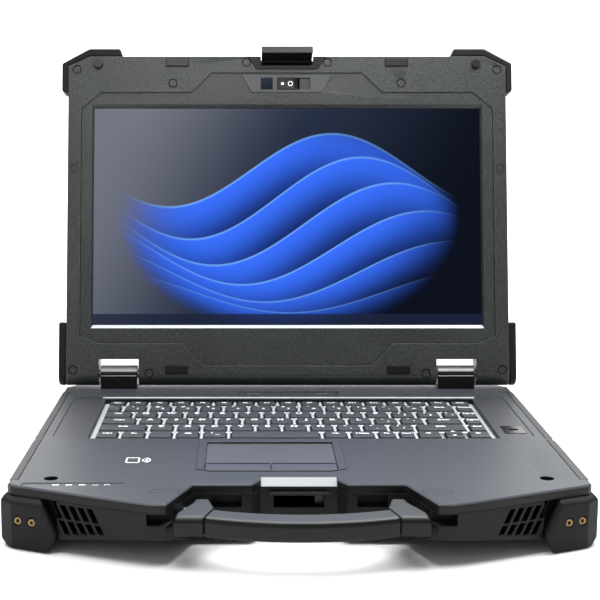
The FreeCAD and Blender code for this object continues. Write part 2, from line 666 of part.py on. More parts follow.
node("top_case", top_case())
node("keyboard_trim", trim_bar(0))
node("status_lens", lens(0))
right_panel = cut(prism("z", side_panel_outline(d.pin_clearance),
                        (d.deck_height - d.panel_sink, d.deck_height - d.panel_sink + d.panel_thickness)),
                  reader_place(d.pin_clearance, split, far))
left_panel = mirrored(prism("z", side_panel_outline(d.pin_clearance),
                            (d.deck_height - d.panel_sink, d.deck_height - d.panel_sink + d.panel_thickness)))
node("side_panels", group(right_panel, left_panel))
reader_top = d.deck_height - d.panel_sink + d.panel_thickness
reader_groove = box((d.reader_left + d.reader_bar, d.reader_right - d.reader_bar),
                    ((fore(d.reader_front) + fore(d.reader_back) - d.reader_bar) / 2,
                     (fore(d.reader_front) + fore(d.reader_back) + d.reader_bar) / 2),
                    (reader_top - d.reader_groove, far))
node("fingerprint_reader",
     cut(reader_place(length(0), d.deck_height - d.panel_sink - d.reader_sink, reader_top + d.reader_proud),
         reader_groove))


# Push buttons in the strip behind the keys
def push_button(place):
    """A button cap whose skirt runs down inside the deck."""
    deck = d.deck_height - d.strip_sink
    return button_block(place, length(0), skin_under - OVER, deck + d.button_travel + d.button_proud)


for label, place in BUTTON_PLACES.items():
    node(label, push_button(place))


# Touchpad: frame, sensing surface and two buttons
def touchpad():
    """The frame with its pad and the two keys below it."""
    deck = d.deck_height
    left, right = d.pad_centre_x - d.pad_half_width, d.pad_centre_x + d.pad_half_width
    gap = d.pad_button_gap
    window = box((left, right), (fore(d.pad_front), fore(d.pad_back)),
                 (deck - d.pad_sink - d.pad_thickness, far))
    keys = box((left, right), (fore(d.pad_button_front), fore(d.pad_front)), (skin_under - OVER, far))
    node("touchpad_frame", cut(prism("z", pad_frame_outline(length(0)), (skin_under, deck + d.frame_proud)),
                               window, keys))
    node("touchpad_surface", box((left + d.pin_clearance, right - d.pin_clearance),
                                 (fore(d.pad_front) + d.pin_clearance, fore(d.pad_back) - d.pin_clearance),
                                 (deck - d.pad_sink - d.pad_thickness, deck - d.pad_sink)))
    for label, x in (("touchpad_left_button", (left + gap, d.pad_centre_x - gap / 2)),
                     ("touchpad_right_button", (d.pad_centre_x + gap / 2, right - gap))):
        node(label, box(x, (fore(d.pad_button_front) + gap, fore(d.pad_front) - gap),
                        (skin_under, deck + d.frame_proud / 2)))


touchpad()


# Keys: each row is a set of caps on stems that slide in the keyboard plate
plate_top = skin_under
cap_low = plate_top + d.key_rise
STEMS = []


def key(left, right, front, back):
    """One key cap, tapered to its top, on a stem through the plate."""
    half_gap = d.key_gap / 2
    low = (left + half_gap, right - half_gap, front, back)
    high = (low[0] + d.key_taper, low[1] - d.key_taper, front + d.key_taper, back - d.key_taper)
    cap = frustum(low, high, (cap_low, cap_low + d.key_cap_height))
    middle = ((low[0] + low[1]) / 2, (front + back) / 2)
    STEMS.append(middle)
    half = d.key_stem / 2
    stem = box((middle[0] - half, middle[0] + half), (middle[1] - half, middle[1] + half),
               (cap_low - d.stem_length, cap_low + OVER))
    return fuse(cap, stem)


def row_keys(edges, front, depth):
    """Caps between each two neighbouring edges of a row."""
    return [key(a, b, fore(front), fore(front) + depth) for a, b in zip(edges, edges[1:])]


def columns(start, count, pitch):
    """Evenly spaced edges from a start."""
    return [start + i * pitch for i in range(count)]


left_end, right_end = -d.key_half_span, d.key_half_span
ROWS = {
    "number_keys": (4, [left_end] + columns(d.number_start, 13, d.key_column) + [d.nav_start, right_end]),
    "upper_letter_keys": (3, [left_end] + columns(d.upper_start, 13, d.key_column)
                          + [d.nav_start, right_end]),
    "home_row_keys": (2, [left_end] + columns(d.home_start, 12, d.key_column) + [d.nav_start, right_end]),
    "lower_letter_keys": (1, [left_end] + columns(d.lower_start, 11, d.key_column)
                          + [d.nav_start, right_end]),
}
node("function_keys",
     group(*row_keys([left_end] + columns(d.function_start, 16, d.function_column) + [right_end],
                     d.function_row_front, d.function_key_depth)))
for label, (step, edges) in ROWS.items():
    node(label, group(*row_keys(edges, d.bottom_row_front - step * d.key_pitch, d.key_depth)))
space_start = d.bottom_start + 4 * d.key_column
node("space_bar", key(space_start, d.space_end, fore(d.bottom_row_front),
                      fore(d.bottom_row_front) + d.key_depth))
bottom_caps = row_keys([left_end] + columns(d.bottom_start, 5, d.key_column), d.bottom_row_front, d.key_depth)
bottom_caps += row_keys(columns(d.space_end, 3, d.key_column)
                        + [d.narrow_start, d.arrow_start, d.arrow_start + d.key_column],
                        d.bottom_row_front, d.key_depth)
arrow_edges = [d.arrow_start + d.key_column, d.arrow_start + 2 * d.key_column - d.key_gap]
arrow_depth = (d.key_depth - d.key_gap / 2) / 2
bottom_caps += row_keys(arrow_edges, d.bottom_row_front, arrow_depth)
bottom_caps += row_keys(arrow_edges, d.bottom_row_front - arrow_depth - d.key_gap / 2, arrow_depth)
bottom_caps += row_keys([arrow_edges[1], right_end], d.bottom_row_front, d.key_depth)
node("bottom_row_keys", group(*bottom_caps))
stem_half = d.key_stem / 2 + d.stem_clearance
stem_holes = [box((x - stem_half, x + stem_half), (y - stem_half, y + stem_half), (split - OVER, far))
              for x, y in STEMS]
plate = box((-d.keyboard_half_width - d.plate_lip, d.keyboard_half_width + d.plate_lip),
            (fore(d.keyboard_front + d.plate_lip),
             fore(d.keyboard_back - d.plate_lip)), (plate_top - d.plate_thickness, plate_top))
node("keyboard_plate", cut(plate, *stem_holes))


# Corner bumpers and their screws
def hexagon_socket(x, face):
    """The hexagonal socket in a screw head that faces forward."""
    r = d.bumper_screw_socket
    z = d.bumper_screw_rise
    return prism("y", [(x + r, z), (x + r / 2, z + HEXAGON * r), (x - r / 2, z + HEXAGON * r), (x - r, z),
                       (x - r / 2, z - HEXAGON * r), (x + r / 2, z - HEXAGON * r)],
                 (face - OVER, face + 2 * r))


def front_bumper():
    """Rubber round the front corner, following the slanted front edge."""
    inner, nose = d.bumper_inner_x, d.front_corner_x - d.bumper_nose
    plan = prism("z", [
        (inner, fore(front_edge(inner) - d.bumper_seat)), (inner, fore(front_edge(inner) + d.bumper_out)),
        (nose, fore(front_edge(nose) + d.bumper_out)),
        (bumper_outer, fore(front_edge(nose) + d.bumper_out - 2 * d.bumper_chamfer)),
        (bumper_outer, fore(d.bumper_back)), (bumper_side, fore(d.bumper_back)),
        (bumper_side, fore(front_edge(bumper_side) - d.bumper_seat))], (0, split))
    face = prism("y", [(d.bumper_toe_x, 0), (inner, d.bumper_step), (d.bumper_shoulder_x, split),
                       (bumper_outer - d.bumper_chamfer, split),
                       (bumper_outer, split - d.bumper_chamfer), (bumper_outer, d.bumper_chamfer),
                       (bumper_outer - d.bumper_chamfer, 0)], (fore(far), d.axis_back))
    holes = [bumper_screw(x, d.pin_clearance) for x in (d.bumper_screw_inner_x, d.bumper_screw_outer_x)]
    return cut(common(plan, face), *holes)


def rear_bumper():
    """Rubber round the rear corner."""
    out, chamfer_size = d.bumper_out, d.rear_chamfer
    inner = d.case_half_width - d.rear_bumper_length
    plan = prism("z", [
        (inner, rear), (inner + out, rear + out), (d.case_half_width - chamfer_size + out / 2, rear + out),
        (d.case_half_width + out, rear - chamfer_size + out / 2),
        (d.case_half_width + out, fore(d.rear_door_back - d.rear_bumper_tip)),
        (d.case_half_width, fore(d.rear_door_back - OVER)), (d.case_half_width, rear - chamfer_size),
        (d.case_half_width - chamfer_size, rear)], (0, split))
    return plan


def screw(x):
    """A socket-head bumper screw."""
    return cut(bumper_screw(x), hexagon_socket(x, fore(front_edge(x) + d.bumper_out)))


node("front_bumpers", both(front_bumper()))
node("rear_bumpers", both(rear_bumper()))
inner_screw, outer_screw = screw(d.bumper_screw_inner_x), screw(d.bumper_screw_outer_x)
node("bumper_screws", group(inner_screw, outer_screw, mirrored(inner_screw), mirrored(outer_screw)))
node("bottom_screws", group(*[bottom_screw(x, y, 0) for x, y in BOTTOM_SCREWS]))

# Port doors, and the pins of the doors and the handle
for name, span in DOOR_SPANS.items():
    door = port_door(span)
    node(f"right_{name}_door", door)
    node(f"left_{name}_door", mirrored(door))
pins = [door_pin(span) for span in DOOR_SPANS.values()] + [handle_pin()]
node("pivot_pins", group(*pins, *[mirrored(shape) for shape in pins]))


# Hinge knuckles on the deck
def hinge_knuckle():
    """A round knuckle on a foot, bored for the hinge pin."""
    span = (d.knuckle_left, d.knuckle_right)
    barrel = rod("x", (d.axis_back, axis_height), d.knuckle_radius, span)
    foot = box(span, (fore(d.knuckle_front), d.axis_back + d.knuckle_radius), (d.deck_height, axis_height))
    return cut(fuse(barrel, foot),
               rod("x", (d.axis_back, axis_height), d.hinge_pin_radius + d.pin_clearance, span))


node("hinge_knuckles", both(hinge_knuckle()))

# Carry handle
handle_low, handle_top = d.deck_height - d.handle_bottom_drop, d.deck_height - d.handle_top_drop


grip_reach = d.grip_end_front + d.grip_bow
grip_radius = (d.grip_half_width * d.grip_half_width + d.grip_bow * d.grip_bow) / (2 * d.grip_bow)
grip_back = d.grip_end_front - d.grip_depth
groove_slope = (d.groove_front_x - d.groove_back_x) / (grip_reach - d.handle_pivot_y)


def groove_x(distance):
    """Where the slanted joint between an arm and the grip lies across the handle."""
    return d.groove_front_x - (grip_reach - distance) * groove_slope


def handle_arm():
    """An arm from its pivot to the grip, wider at the grip and cut off on the slanted joint."""
    root_back = fore(d.handle_pivot_y - d.handle_knuckle)
    outer, cheek = d.arm_outer_x - d.arm_side_play, d.handle_cheek - d.arm_side_play
    joint = groove_x(d.arm_tip)
    plan = prism("z", [
        (joint, fore(d.arm_tip)), (outer, fore(d.arm_tip)), (outer, fore(d.arm_tip - d.arm_shoulder)),
        (cheek, pivot_y), (cheek, root_back), (d.arm_root_x - d.arm_flare, root_back),
        (groove_x(grip_back), fore(grip_back))], (handle_low, handle_top))

    def open_edge(edge):
        return on_level(handle_top)(edge) and edge.BoundBox.XMax > joint.value + d.pin_clearance.value
    return cut(chamfer(plan, d.handle_chamfer, open_edge), handle_pin(d.pin_clearance))


def handle_grip():
    """The bar between the arms, bowed forward on two arcs about one centre, its ends on the slanted joints."""
    centre = (length(0), fore(grip_reach) + grip_radius)
    ends = [(d.groove_front_x, fore(grip_reach)), (d.groove_back_x, fore(d.handle_pivot_y))]
    bar = prism("z", [(-x, y) for x, y in ends] + list(reversed(ends)), (handle_low, handle_top))
    front = rod("z", centre, grip_radius, (handle_low, handle_top))
    back = rod("z", centre, grip_radius - d.grip_depth, (handle_low - OVER, handle_top + OVER))
    bowed = cut(common(bar, front), back)

    def long_edge(edge):
        return on_level(handle_top)(edge) and edge.BoundBox.XLength > d.groove_back_x.value
    return chamfer(bowed, d.grip_chamfer, long_edge)


node("handle_arms", both(handle_arm()))
node("handle_grip", handle_grip())


# Inner pieces of the base
def port_shell(x, y, along):
    """A socket shell with a contact tongue: along names the way its mouth faces."""
    half, shell, tall = d.port_width / 2, d.port_shell, d.port_height
    tongue_low = port_low + tall / 2 - d.port_tongue / 2
    if along == "x":
        ends = (x - d.port_length, x)
        outer = box(ends, (y - half, y + half), (port_low, port_low + tall))
        bore = box((ends[0] + 2 * shell, ends[1] + OVER), (y - half + shell, y + half - shell),
                   (port_low + shell, port_low + tall - shell))
        tongue = box((ends[0], ends[1] - shell), (y - half + 2 * shell, y + half - 2 * shell),
                     (tongue_low, tongue_low + d.port_tongue))
    else:
        ends = (y - d.port_length, y)
        outer = box((x - half, x + half), ends, (port_low, port_low + tall))
        bore = box((x - half + shell, x + half - shell), (ends[0] + 2 * shell, ends[1] + OVER),
                   (port_low + shell, port_low + tall - shell))
        tongue = box((x - half + 2 * shell, x + half - 2 * shell), (ends[0], ends[1] - shell),
                     (tongue_low, tongue_low + d.port_tongue))
    return fuse(cut(outer, bore), tongue)


right_ports = group(*[port_shell(door_inner - d.port_shell, fore(place), "x") for place in PORT_PLACES])
node("right_ports", right_ports)
node("left_ports",
     group(*[mirrored(port_shell(door_inner - d.port_shell, fore(place), "x")) for place in PORT_PLACES]))
inlet_middle = port_low + d.inlet_size / 2
inlet = fuse(cut(inlet_body(length(0)), rod("y", (d.inlet_x, inlet_middle), d.inlet_radius,
                                            (rear - d.port_length + 3, rear + OVER))),
             rod("y", (d.inlet_x, inlet_middle), d.inlet_pin,
                 (rear - d.port_length + d.inlet_floor, rear - OVER)))
node("rear_ports", group(inlet, *[port_shell(x, rear, "y") for x in REAR_PORTS]))
board_top = port_low
board_plan = box((-d.board_half_width, d.board_half_width), (fore(d.board_front), rear - d.wall - OVER),
                 (d.board_rise, board_top))
node("main_board", board_plan)
half_chip = d.chip_size / 2
chip_top = board_top + d.chip_height
node("processor", box((d.chip_x - half_chip, d.chip_x + half_chip),
                      (fore(d.chip_y) - half_chip, fore(d.chip_y) + half_chip), (board_top, chip_top)))
sink_back = rear - d.wall - 1
sink_right = d.fan_x + d.sink_width / 2
pipe_front = sink_back - d.sink_depth / 2
node("heat_pipe", prism("z", [
    (d.chip_x - d.pipe_width / 2, fore(d.chip_y) - half_chip),
    (d.chip_x + d.pipe_width / 2, fore(d.chip_y) - half_chip),
    (d.chip_x + d.pipe_width / 2, pipe_front + d.pipe_width),
    (sink_right, pipe_front + d.pipe_width), (sink_right, pipe_front),
    (d.chip_x - d.pipe_width / 2, pipe_front)], (chip_top, chip_top + d.pipe_thickness)))


def heat_sink():
    """A base plate with upright fins, and a solid shoe for the heat pipe."""
    left = d.fan_x - d.sink_width / 2
    front = sink_back - d.sink_depth
    base = box((left, sink_right), (front, sink_back), (board_top, board_top + d.fin_thickness))
    pitch = (d.sink_width - d.fin_thickness) / (FIN_COUNT - 1)
    fins = [box((left + i * pitch, left + i * pitch + d.fin_thickness), (front, sink_back),
                (board_top, board_top + d.sink_height))
            for i in range(FIN_COUNT)]
    return fuse(base, *fins)


FIN_COUNT = int(d.fin_count.value)
node("heat_sink", heat_sink())
fan_centre = (d.fan_x, fore(d.fan_y))
fan_top = fan_low + d.fan_height


def fan_housing():
    """A blower's case with a round chamber, an inlet above, an outlet behind and a shaft post."""
    half = d.fan_case / 2
    outer = box((d.fan_x - half, d.fan_x + half), (fan_centre[1] - half, fan_centre[1] + half),
                (fan_low, fan_top))
    chamber = rod("z", fan_centre, d.fan_radius + d.fan_play, (fan_low + d.fan_wall, fan_top - d.fan_wall))
    mouth = rod("z", fan_centre, d.fan_radius - d.mouth_rim, (fan_low + d.fan_wall, fan_top + OVER))
    outlet = box((d.fan_x - half + d.fan_wall, d.fan_x + half - d.fan_wall),
                 (fan_centre[1], fan_centre[1] + half + OVER),
                 (fan_low + d.fan_wall, fan_top - d.fan_wall))
    post = rod("z", fan_centre, d.fan_shaft_radius, (fan_low, fan_top - d.fan_wall))
    return fuse(cut(outer, chamber, mouth, outlet), post)


def fan_rotor():
    """A hub on the post with straight blades round it."""
    low, high = fan_low + d.fan_wall + d.fan_play / 2, fan_top - d.fan_wall - d.fan_play / 2
    hub = rod("z", fan_centre, d.fan_hub_radius, (low, high))
    blades = []
    count = int(d.fan_blades.value)
    for i in range(count):
        blade = doc.addObject("Part::Box", "blade")
        blade.Placement = FreeCAD.Placement(FreeCAD.Vector(),
                                            FreeCAD.Rotation(FreeCAD.Vector(0, 0, 1), i * 360 / count))
        bind(blade, Length=d.fan_radius, Width=d.blade_thickness, Height=high - low)
        blades.append(bind(blade, Placement__Base__x=fan_centre[0], Placement__Base__y=fan_centre[1],
                           Placement__Base__z=low))
    return cut(fuse(hub, *blades), rod("z", fan_centre, d.fan_shaft_radius + d.pin_clearance,
                                       (low - OVER, high + OVER)))


node("fan_housing", fan_housing())
node("fan_rotor", fan_rotor())
cards = [box((d.card_x, d.card_x + d.card_width),
             (fore(d.card_y + i * (d.card_depth + d.card_gap)),
              fore(d.card_y + i * (d.card_depth + d.card_gap)) + d.card_depth),
             (board_top, board_top + d.card_thickness)) for i in range(2)]
node("plug_in_cards", group(*cards))
node("battery_pack", box((d.battery_left, d.battery_right), (fore(d.battery_front), fore(d.battery_back)),
                         (case_floor, case_floor + d.battery_height)))
node("storage_drive", box((d.drive_left, d.drive_right), (fore(d.drive_front), fore(d.drive_back)),
                          (case_floor, case_floor + d.drive_height)))
node("speakers", both(speaker_bay(d.speaker_play)))


# Lid, drawn upright with the hinge axis at the origin and its face towards minus Y
def lid_span(front, back):
    """Depths in front of and behind the axis as a span along Y."""
    return (-length(front), -length(back))


lid_half = [(d.lid_half_width, 0), (d.lid_half_width, d.lid_top - d.lid_corner_drop),
            (d.lid_corner_x, d.lid_top)]
lid_outline = [(-x, z) for x, z in lid_half] + [(x, z) for x, z in reversed(lid_half)]


def lid_block(front, back):
    """The lid's outline with a round lower edge, between two depths."""
    span = lid_span(front, back)
    body = prism("y", lid_outline, span)
    roll = rod("x", (length(0), length(0)), d.lid_thick_front, (-d.lid_half_width, d.lid_half_width))
    slab = box((-far, far), span, (-far, far))
    return fuse(body, common(roll, slab))


def hinge_pin(extra=0):
    """A hinge pin through a knuckle into the lid on each side, or its hole."""
    reach = d.hinge_pin_reach + extra
    return rod("x", (length(0), length(0)), d.hinge_pin_radius + extra,
               (d.knuckle_left - reach, d.knuckle_right + reach))


def lid_cutouts():
    """What both lid shells leave out: hinge gaps, pin holes and the latch bay."""
    gap = d.knuckle_gap
    hinge_gap = fuse(box((d.knuckle_left - gap, d.knuckle_right + gap), (-far, far), (-far, d.cutout_top)),
                     hinge_pin(d.pin_clearance))
    bay = box((-d.latch_recess_x, d.latch_recess_x), lid_span(far, -d.lid_thick_back + d.lid_wall),
              (d.latch_recess_low, far))
    return [hinge_gap, mirrored(hinge_gap), bay]


latch_y, latch_z = d.latch_pivot_back, d.latch_pivot_along


def latch_pin(extra=0):
    """The latch's pin, or its hole."""
    end = d.latch_recess_x + d.lid_wall + extra
    return rod("x", (latch_y, latch_z), d.latch_pin_radius + extra, (-end, end))


def bezel_outline(play):
    """The stepped line between the lid's frame and the screen surround, drawn in by play."""
    right = [(d.bezel_peak_low_x, d.bezel_peak_low + play), (d.bezel_in_low_x, d.bezel_mid_low + play),
             (d.bezel_mid_x - play, d.bezel_mid_low + play), (d.bezel_side - play, d.bezel_low),
             (d.bezel_side - play, d.bezel_high), (d.bezel_mid_x - play, d.bezel_mid_high - play),
             (d.bezel_in_high_x, d.bezel_mid_high - play), (d.bezel_peak_high_x, d.bezel_peak_high - play)]
    return right + [(-x, z) for x, z in reversed(right)]


def lid_back_cover():
    """The lid's rear shell: a tray round the display."""
    tray_half = d.bezel_side - d.lid_wall
    tray = box((-tray_half, tray_half), lid_span(far, -d.lid_thick_back + d.wall),
               (d.bezel_low - d.tray_drop, d.bezel_peak_high - d.lid_wall))
    latch_hole = latch_pin(d.pin_clearance)
    return cut(lid_block(d.lid_split, -d.lid_thick_back), tray, latch_hole, *lid_cutouts())


PLUGS = [(d.plug_corner_x, d.plug_corner_high), (d.plug_upper_x, d.plug_upper_high),
         (d.plug_latch_x, d.plug_latch_high),
         (d.plug_foot_x, d.plug_foot_high), (d.plug_hinge_x, d.plug_hinge_high)]


def plug(x, z, extra=0):
    """A round screw plug in the lid's frame, or its bed."""
    face = d.lid_thick_front - d.plug_sink if not extra else far
    return rod("y", (x, z), d.plug_radius + extra,
               lid_span(face, d.lid_thick_front - d.plug_sink - d.plug_depth))


def rest_pad(z, extra=0):
    """A rubber pad that the closed lid rests on, or its bed."""
    half_x, half_z = d.rest_pad_width / 2 + extra, d.rest_pad_depth / 2 + extra
    return box((d.rest_pad_x - half_x, d.rest_pad_x + half_x),
               lid_span(d.lid_thick_front + d.rest_pad_proud, d.lid_thick_front - d.plug_depth),
               (z - half_z, z + half_z))


def lid_frame():
    """The lid's front frame round the screen surround."""
    opening = prism("y", bezel_outline(length(0)), lid_span(far, 0))
    tools = [opening] + lid_cutouts()
    for x, z in PLUGS:
        bed = plug(x, z, d.pin_clearance)
        tools += [bed, mirrored(bed)]
    for z in (d.rest_pad_high, d.rest_pad_low):
        bed = rest_pad(z, d.pin_clearance)
        tools += [bed, mirrored(bed)]
    return cut(lid_block(d.lid_thick_front, d.lid_split), *tools)


surround_face = d.lid_thick_front - d.bezel_sink
glass_half = d.screen_half_width + d.glass_border
glass_low, glass_high = d.screen_low - d.glass_border, d.screen_high + d.glass_border


def screen_surround():
    """The sunk surround with a bevelled window and a bed behind it for the glass and the panel."""
    plate_solid = prism("y", bezel_outline(d.bezel_play), lid_span(surround_face, d.lid_split))
    side, end = d.bevel_side, d.bevel_end
    window = doc.addObject("Part::Wedge", "window")
    bind(window, Ymin=-surround_face, Ymax=-d.screen_face, Xmin=-d.screen_half_width - side,
         Xmax=d.screen_half_width + side,
         Zmin=d.screen_low - end, Zmax=d.screen_high + end,
         X2min=-d.screen_half_width, X2max=d.screen_half_width,
         Z2min=d.screen_low, Z2max=d.screen_high)
    bed = box((-glass_half, glass_half), lid_span(d.screen_face, 0), (glass_low, glass_high))
    shutter_bed = box((d.shutter_left - d.shutter_play, d.shutter_right + d.shutter_travel + d.shutter_play),
                      lid_span(far, surround_face - d.shutter_thickness + d.camera_proud - d.shutter_play),
                      (d.shutter_low - d.shutter_play, d.shutter_high + d.shutter_play))
    module = camera_module(d.pin_clearance)
    return cut(plate_solid, window, bed, shutter_bed, module)


def camera_module(play):
    """The sensor block behind the camera panel's window, or its bed."""
    middle = (d.shutter_low + d.shutter_high) / 2
    half = (d.window_right - d.window_left) / 2 + play
    centre = (d.window_left + d.window_right) / 2
    return box((centre - half, centre + half), lid_span(surround_face + d.camera_proud, d.lid_split + OVER),
               (middle - half, middle + half))


lid_node("lid_back_cover", lid_back_cover())
lid_node("lid_frame", lid_frame())
lid_node("screen_surround", screen_surround())
play = d.pin_clearance
lid_node("screen_glass", box((-glass_half + play, glass_half - play),
                             lid_span(d.screen_face, d.screen_face - d.glass_thickness),
                             (glass_low + play, glass_high - play)))
panel_front = d.screen_face - d.glass_thickness
panel_rear = panel_front - d.panel_depth
lid_node("display_panel", box((-glass_half + play, glass_half - play), lid_span(panel_front, panel_rear),
                              (glass_low + play, glass_high - play)))
lid_node("panel_backing", box((-glass_half + d.backing_inset, glass_half - d.backing_inset),
                              lid_span(panel_rear, -d.lid_thick_back + d.wall),
                              (glass_low + d.backing_inset, glass_high - d.backing_inset)))


# Camera panel with its window and sliding shutter
def camera_panel():
    """A thin plate over the surround, open at the sensor and along the shutter's track."""
    outline = [(d.camera_bottom_x, d.camera_low - play), (d.camera_top_x, d.camera_high),
               (-d.camera_top_x, d.camera_high),
               (-d.camera_bottom_x, d.camera_low - play)]
    plate_solid = prism("y", outline, lid_span(surround_face + d.camera_proud, surround_face))
    track = box((d.shutter_left - d.shutter_play, d.shutter_right + d.shutter_travel + d.shutter_play),
                (-far, far),
                (d.shutter_low - d.shutter_play, d.shutter_high + d.shutter_play))
    return cut(plate_solid, track, camera_module(play))


shutter_back = surround_face - d.shutter_thickness + d.camera_proud
lid_node("camera_panel", camera_panel())
lid_node("camera_module", camera_module(length(0)))
shutter_ridges = [box((d.shutter_right - d.ridge_start + d.ridge_pitch * i,
                        d.shutter_right - d.ridge_start + d.ridge_pitch * i + d.ridge_width),
                       lid_span(far, surround_face + d.camera_proud - d.shutter_proud),
                      (d.shutter_low + d.ridge_end, d.shutter_high - d.ridge_end)) for i in range(RIDGES)]
lid_node("camera_shutter",
         cut(box((d.shutter_left, d.shutter_right),
                 lid_span(surround_face + d.camera_proud + d.shutter_proud, shutter_back),
                 (d.shutter_low, d.shutter_high)), *shutter_ridges))


# Lid trim: bumpers, plugs, pads and pegs
def top_bumper():
    """Rubber round the lid's upper corner."""
    outer, top = d.lid_half_width + d.lid_bumper_out, d.lid_top + d.lid_bumper_rise
    return prism("y", [
        (d.lid_bumper_inner, d.lid_top), (d.lid_bumper_inner + d.lid_bumper_slant, top),
        (outer - d.lid_bumper_chamfer_x, top), (outer, top - d.lid_bumper_chamfer_v),
        (outer, d.lid_bumper_low + d.lid_bumper_slant), (d.lid_half_width, d.lid_bumper_low),
        (d.lid_half_width, d.lid_top - d.lid_corner_drop), (d.lid_corner_x, d.lid_top)],
        lid_span(d.lid_thick_front, -d.lid_thick_back))


def side_bumper():
    """Rubber on the lid's lower side, round about the hinge axis."""
    x = (d.lid_half_width, d.lid_half_width + d.side_bumper_out)
    block = box(x, lid_span(d.lid_thick_front, -d.lid_thick_back), (0, d.side_bumper_high))
    roll = rod("x", (length(0), length(0)), d.lid_thick_front, x)
    return fuse(block, roll)


top_corner, side_corner = top_bumper(), side_bumper()
lid_node("lid_bumpers", group(top_corner, mirrored(top_corner), side_corner, mirrored(side_corner)))
plugs = [plug(x, z) for x, z in PLUGS]
lid_node("screw_plugs", group(*plugs, *[mirrored(shape) for shape in plugs]))
pads = [rest_pad(z) for z in (d.rest_pad_high, d.rest_pad_low)]
pads.append(rod("y", (d.peg_x, d.peg_along), d.peg_radius,
                lid_span(d.lid_thick_front + d.peg_height, d.lid_thick_front)))
lid_node("rest_pads", group(*pads, *[mirrored(shape) for shape in pads]))
lid_node("lid_pins", group(hinge_pin(), mirrored(hinge_pin()), latch_pin()))


# Latch, drawn about its own pin and swung to its released place
def latch():
    """A plate over the lid's edge with a barrel on the pin and a hook lip at its end."""
    half = d.latch_half_width
    zero = length(0)
    barrel = rod("x", (zero, zero), d.latch_barrel, (-half, half))
    plate_low = d.latch_barrel - d.latch_plate
    reach_plate = box((-half, half), (-d.latch_reach, zero), (plate_low, d.latch_barrel))
    lip = box((-half, half), (-d.latch_reach, -d.latch_reach + d.latch_lip_thick),
              (plate_low - d.latch_lip, d.latch_barrel))
    bore = rod("x", (zero, zero), d.latch_pin_radius + d.pin_clearance, (-far, far))
    swung = group(cut(fuse(barrel, reach_plate, lip), bore))
    swung.Placement = FreeCAD.Placement(FreeCAD.Vector(), FreeCAD.Rotation(FreeCAD.Vector(1, 0, 0), 1))
    bind(swung, Placement__Base__y=latch_y, Placement__Base__z=latch_z,
         Placement__Rotation__Angle=-d.latch_released)
    return group(swung)


lid_node("latch", latch())

doc.recompute()
for obj in doc.Objects:
    if "Invalid" in obj.State or "Error" in obj.State:
        raise RuntimeError(f"{obj.Name} ({obj.Label}) failed: {obj.State}")
os.makedirs("parts", exist_ok=True)
for piece in NODES:
    if piece.Shape.isNull() or not piece.Shape.isValid() or not piece.Shape.Solids:
        raise RuntimeError(f"{piece.Label} has no valid shape")
for piece in NODES:
    piece.Shape.exportStep(f"parts/{piece.Label}.step")
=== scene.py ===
import json
import math

import bmesh
import bpy
import numpy as np
from bpy.props import FloatProperty, FloatVectorProperty, PointerProperty
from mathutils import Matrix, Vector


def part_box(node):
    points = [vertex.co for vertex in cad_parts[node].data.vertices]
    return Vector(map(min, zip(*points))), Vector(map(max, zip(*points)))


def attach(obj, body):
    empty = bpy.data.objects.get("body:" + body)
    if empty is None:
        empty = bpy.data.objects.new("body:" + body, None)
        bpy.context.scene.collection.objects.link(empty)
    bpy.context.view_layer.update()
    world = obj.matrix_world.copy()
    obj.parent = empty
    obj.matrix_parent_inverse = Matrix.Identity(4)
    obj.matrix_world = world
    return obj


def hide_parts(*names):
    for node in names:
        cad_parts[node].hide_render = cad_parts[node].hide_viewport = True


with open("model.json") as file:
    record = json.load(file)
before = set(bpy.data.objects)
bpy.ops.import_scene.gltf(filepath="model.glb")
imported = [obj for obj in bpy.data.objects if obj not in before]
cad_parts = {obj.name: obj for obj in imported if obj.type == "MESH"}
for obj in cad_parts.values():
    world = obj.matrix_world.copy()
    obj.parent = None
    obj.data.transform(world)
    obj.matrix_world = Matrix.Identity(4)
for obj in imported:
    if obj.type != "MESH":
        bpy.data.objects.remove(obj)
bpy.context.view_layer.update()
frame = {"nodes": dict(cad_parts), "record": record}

bl_info = {
    "name": "Rugged laptop computer",
    "version": (1, 0, 0),
    "blender": (4, 5, 0),
    "location": "3D View > Sidebar > Laptop",
    "description": "Dresses the laptop's packed frame with rounded shells, keys, marks and finishes",
    "category": "Object",
}

MM = 0.001
# The lid's axis, how far the lid leans back, and the height of the deck, in metres as in the CAD
AXIS_Y, AXIS_Z = 0.1228, 0.0485
LEAN = math.radians(12.94)
DECK = 0.038
KEY_ROWS = ("function_keys", "number_keys", "upper_letter_keys", "home_row_keys", "lower_letter_keys",
            "bottom_row_keys", "space_bar")
TOUCHPAD_BUTTONS = ("touchpad_left_button", "touchpad_right_button")
SIDE_DOORS = ("right_front_door", "right_rear_door", "left_front_door", "left_rear_door")
SMALL_TRIM = ("touchpad_frame", *TOUCHPAD_BUTTONS, "keyboard_trim", "latch", "hinge_knuckles", *SIDE_DOORS,
              "camera_panel", "camera_shutter", "power_button", "menu_button", "side_panels", "rest_pads")


def tint(red, green, blue):
    """A screen colour of 0 to 255 as linear light."""
    share = np.array([red, green, blue]) / 255
    return tuple(np.where(share <= 0.04045, share / 12.92, ((share + 0.055) / 1.055) ** 2.4))


def length(label, note, millimetres):
    """A length setting of the panel."""
    return FloatProperty(name=label, description=note, default=millimetres * MM, unit="LENGTH")


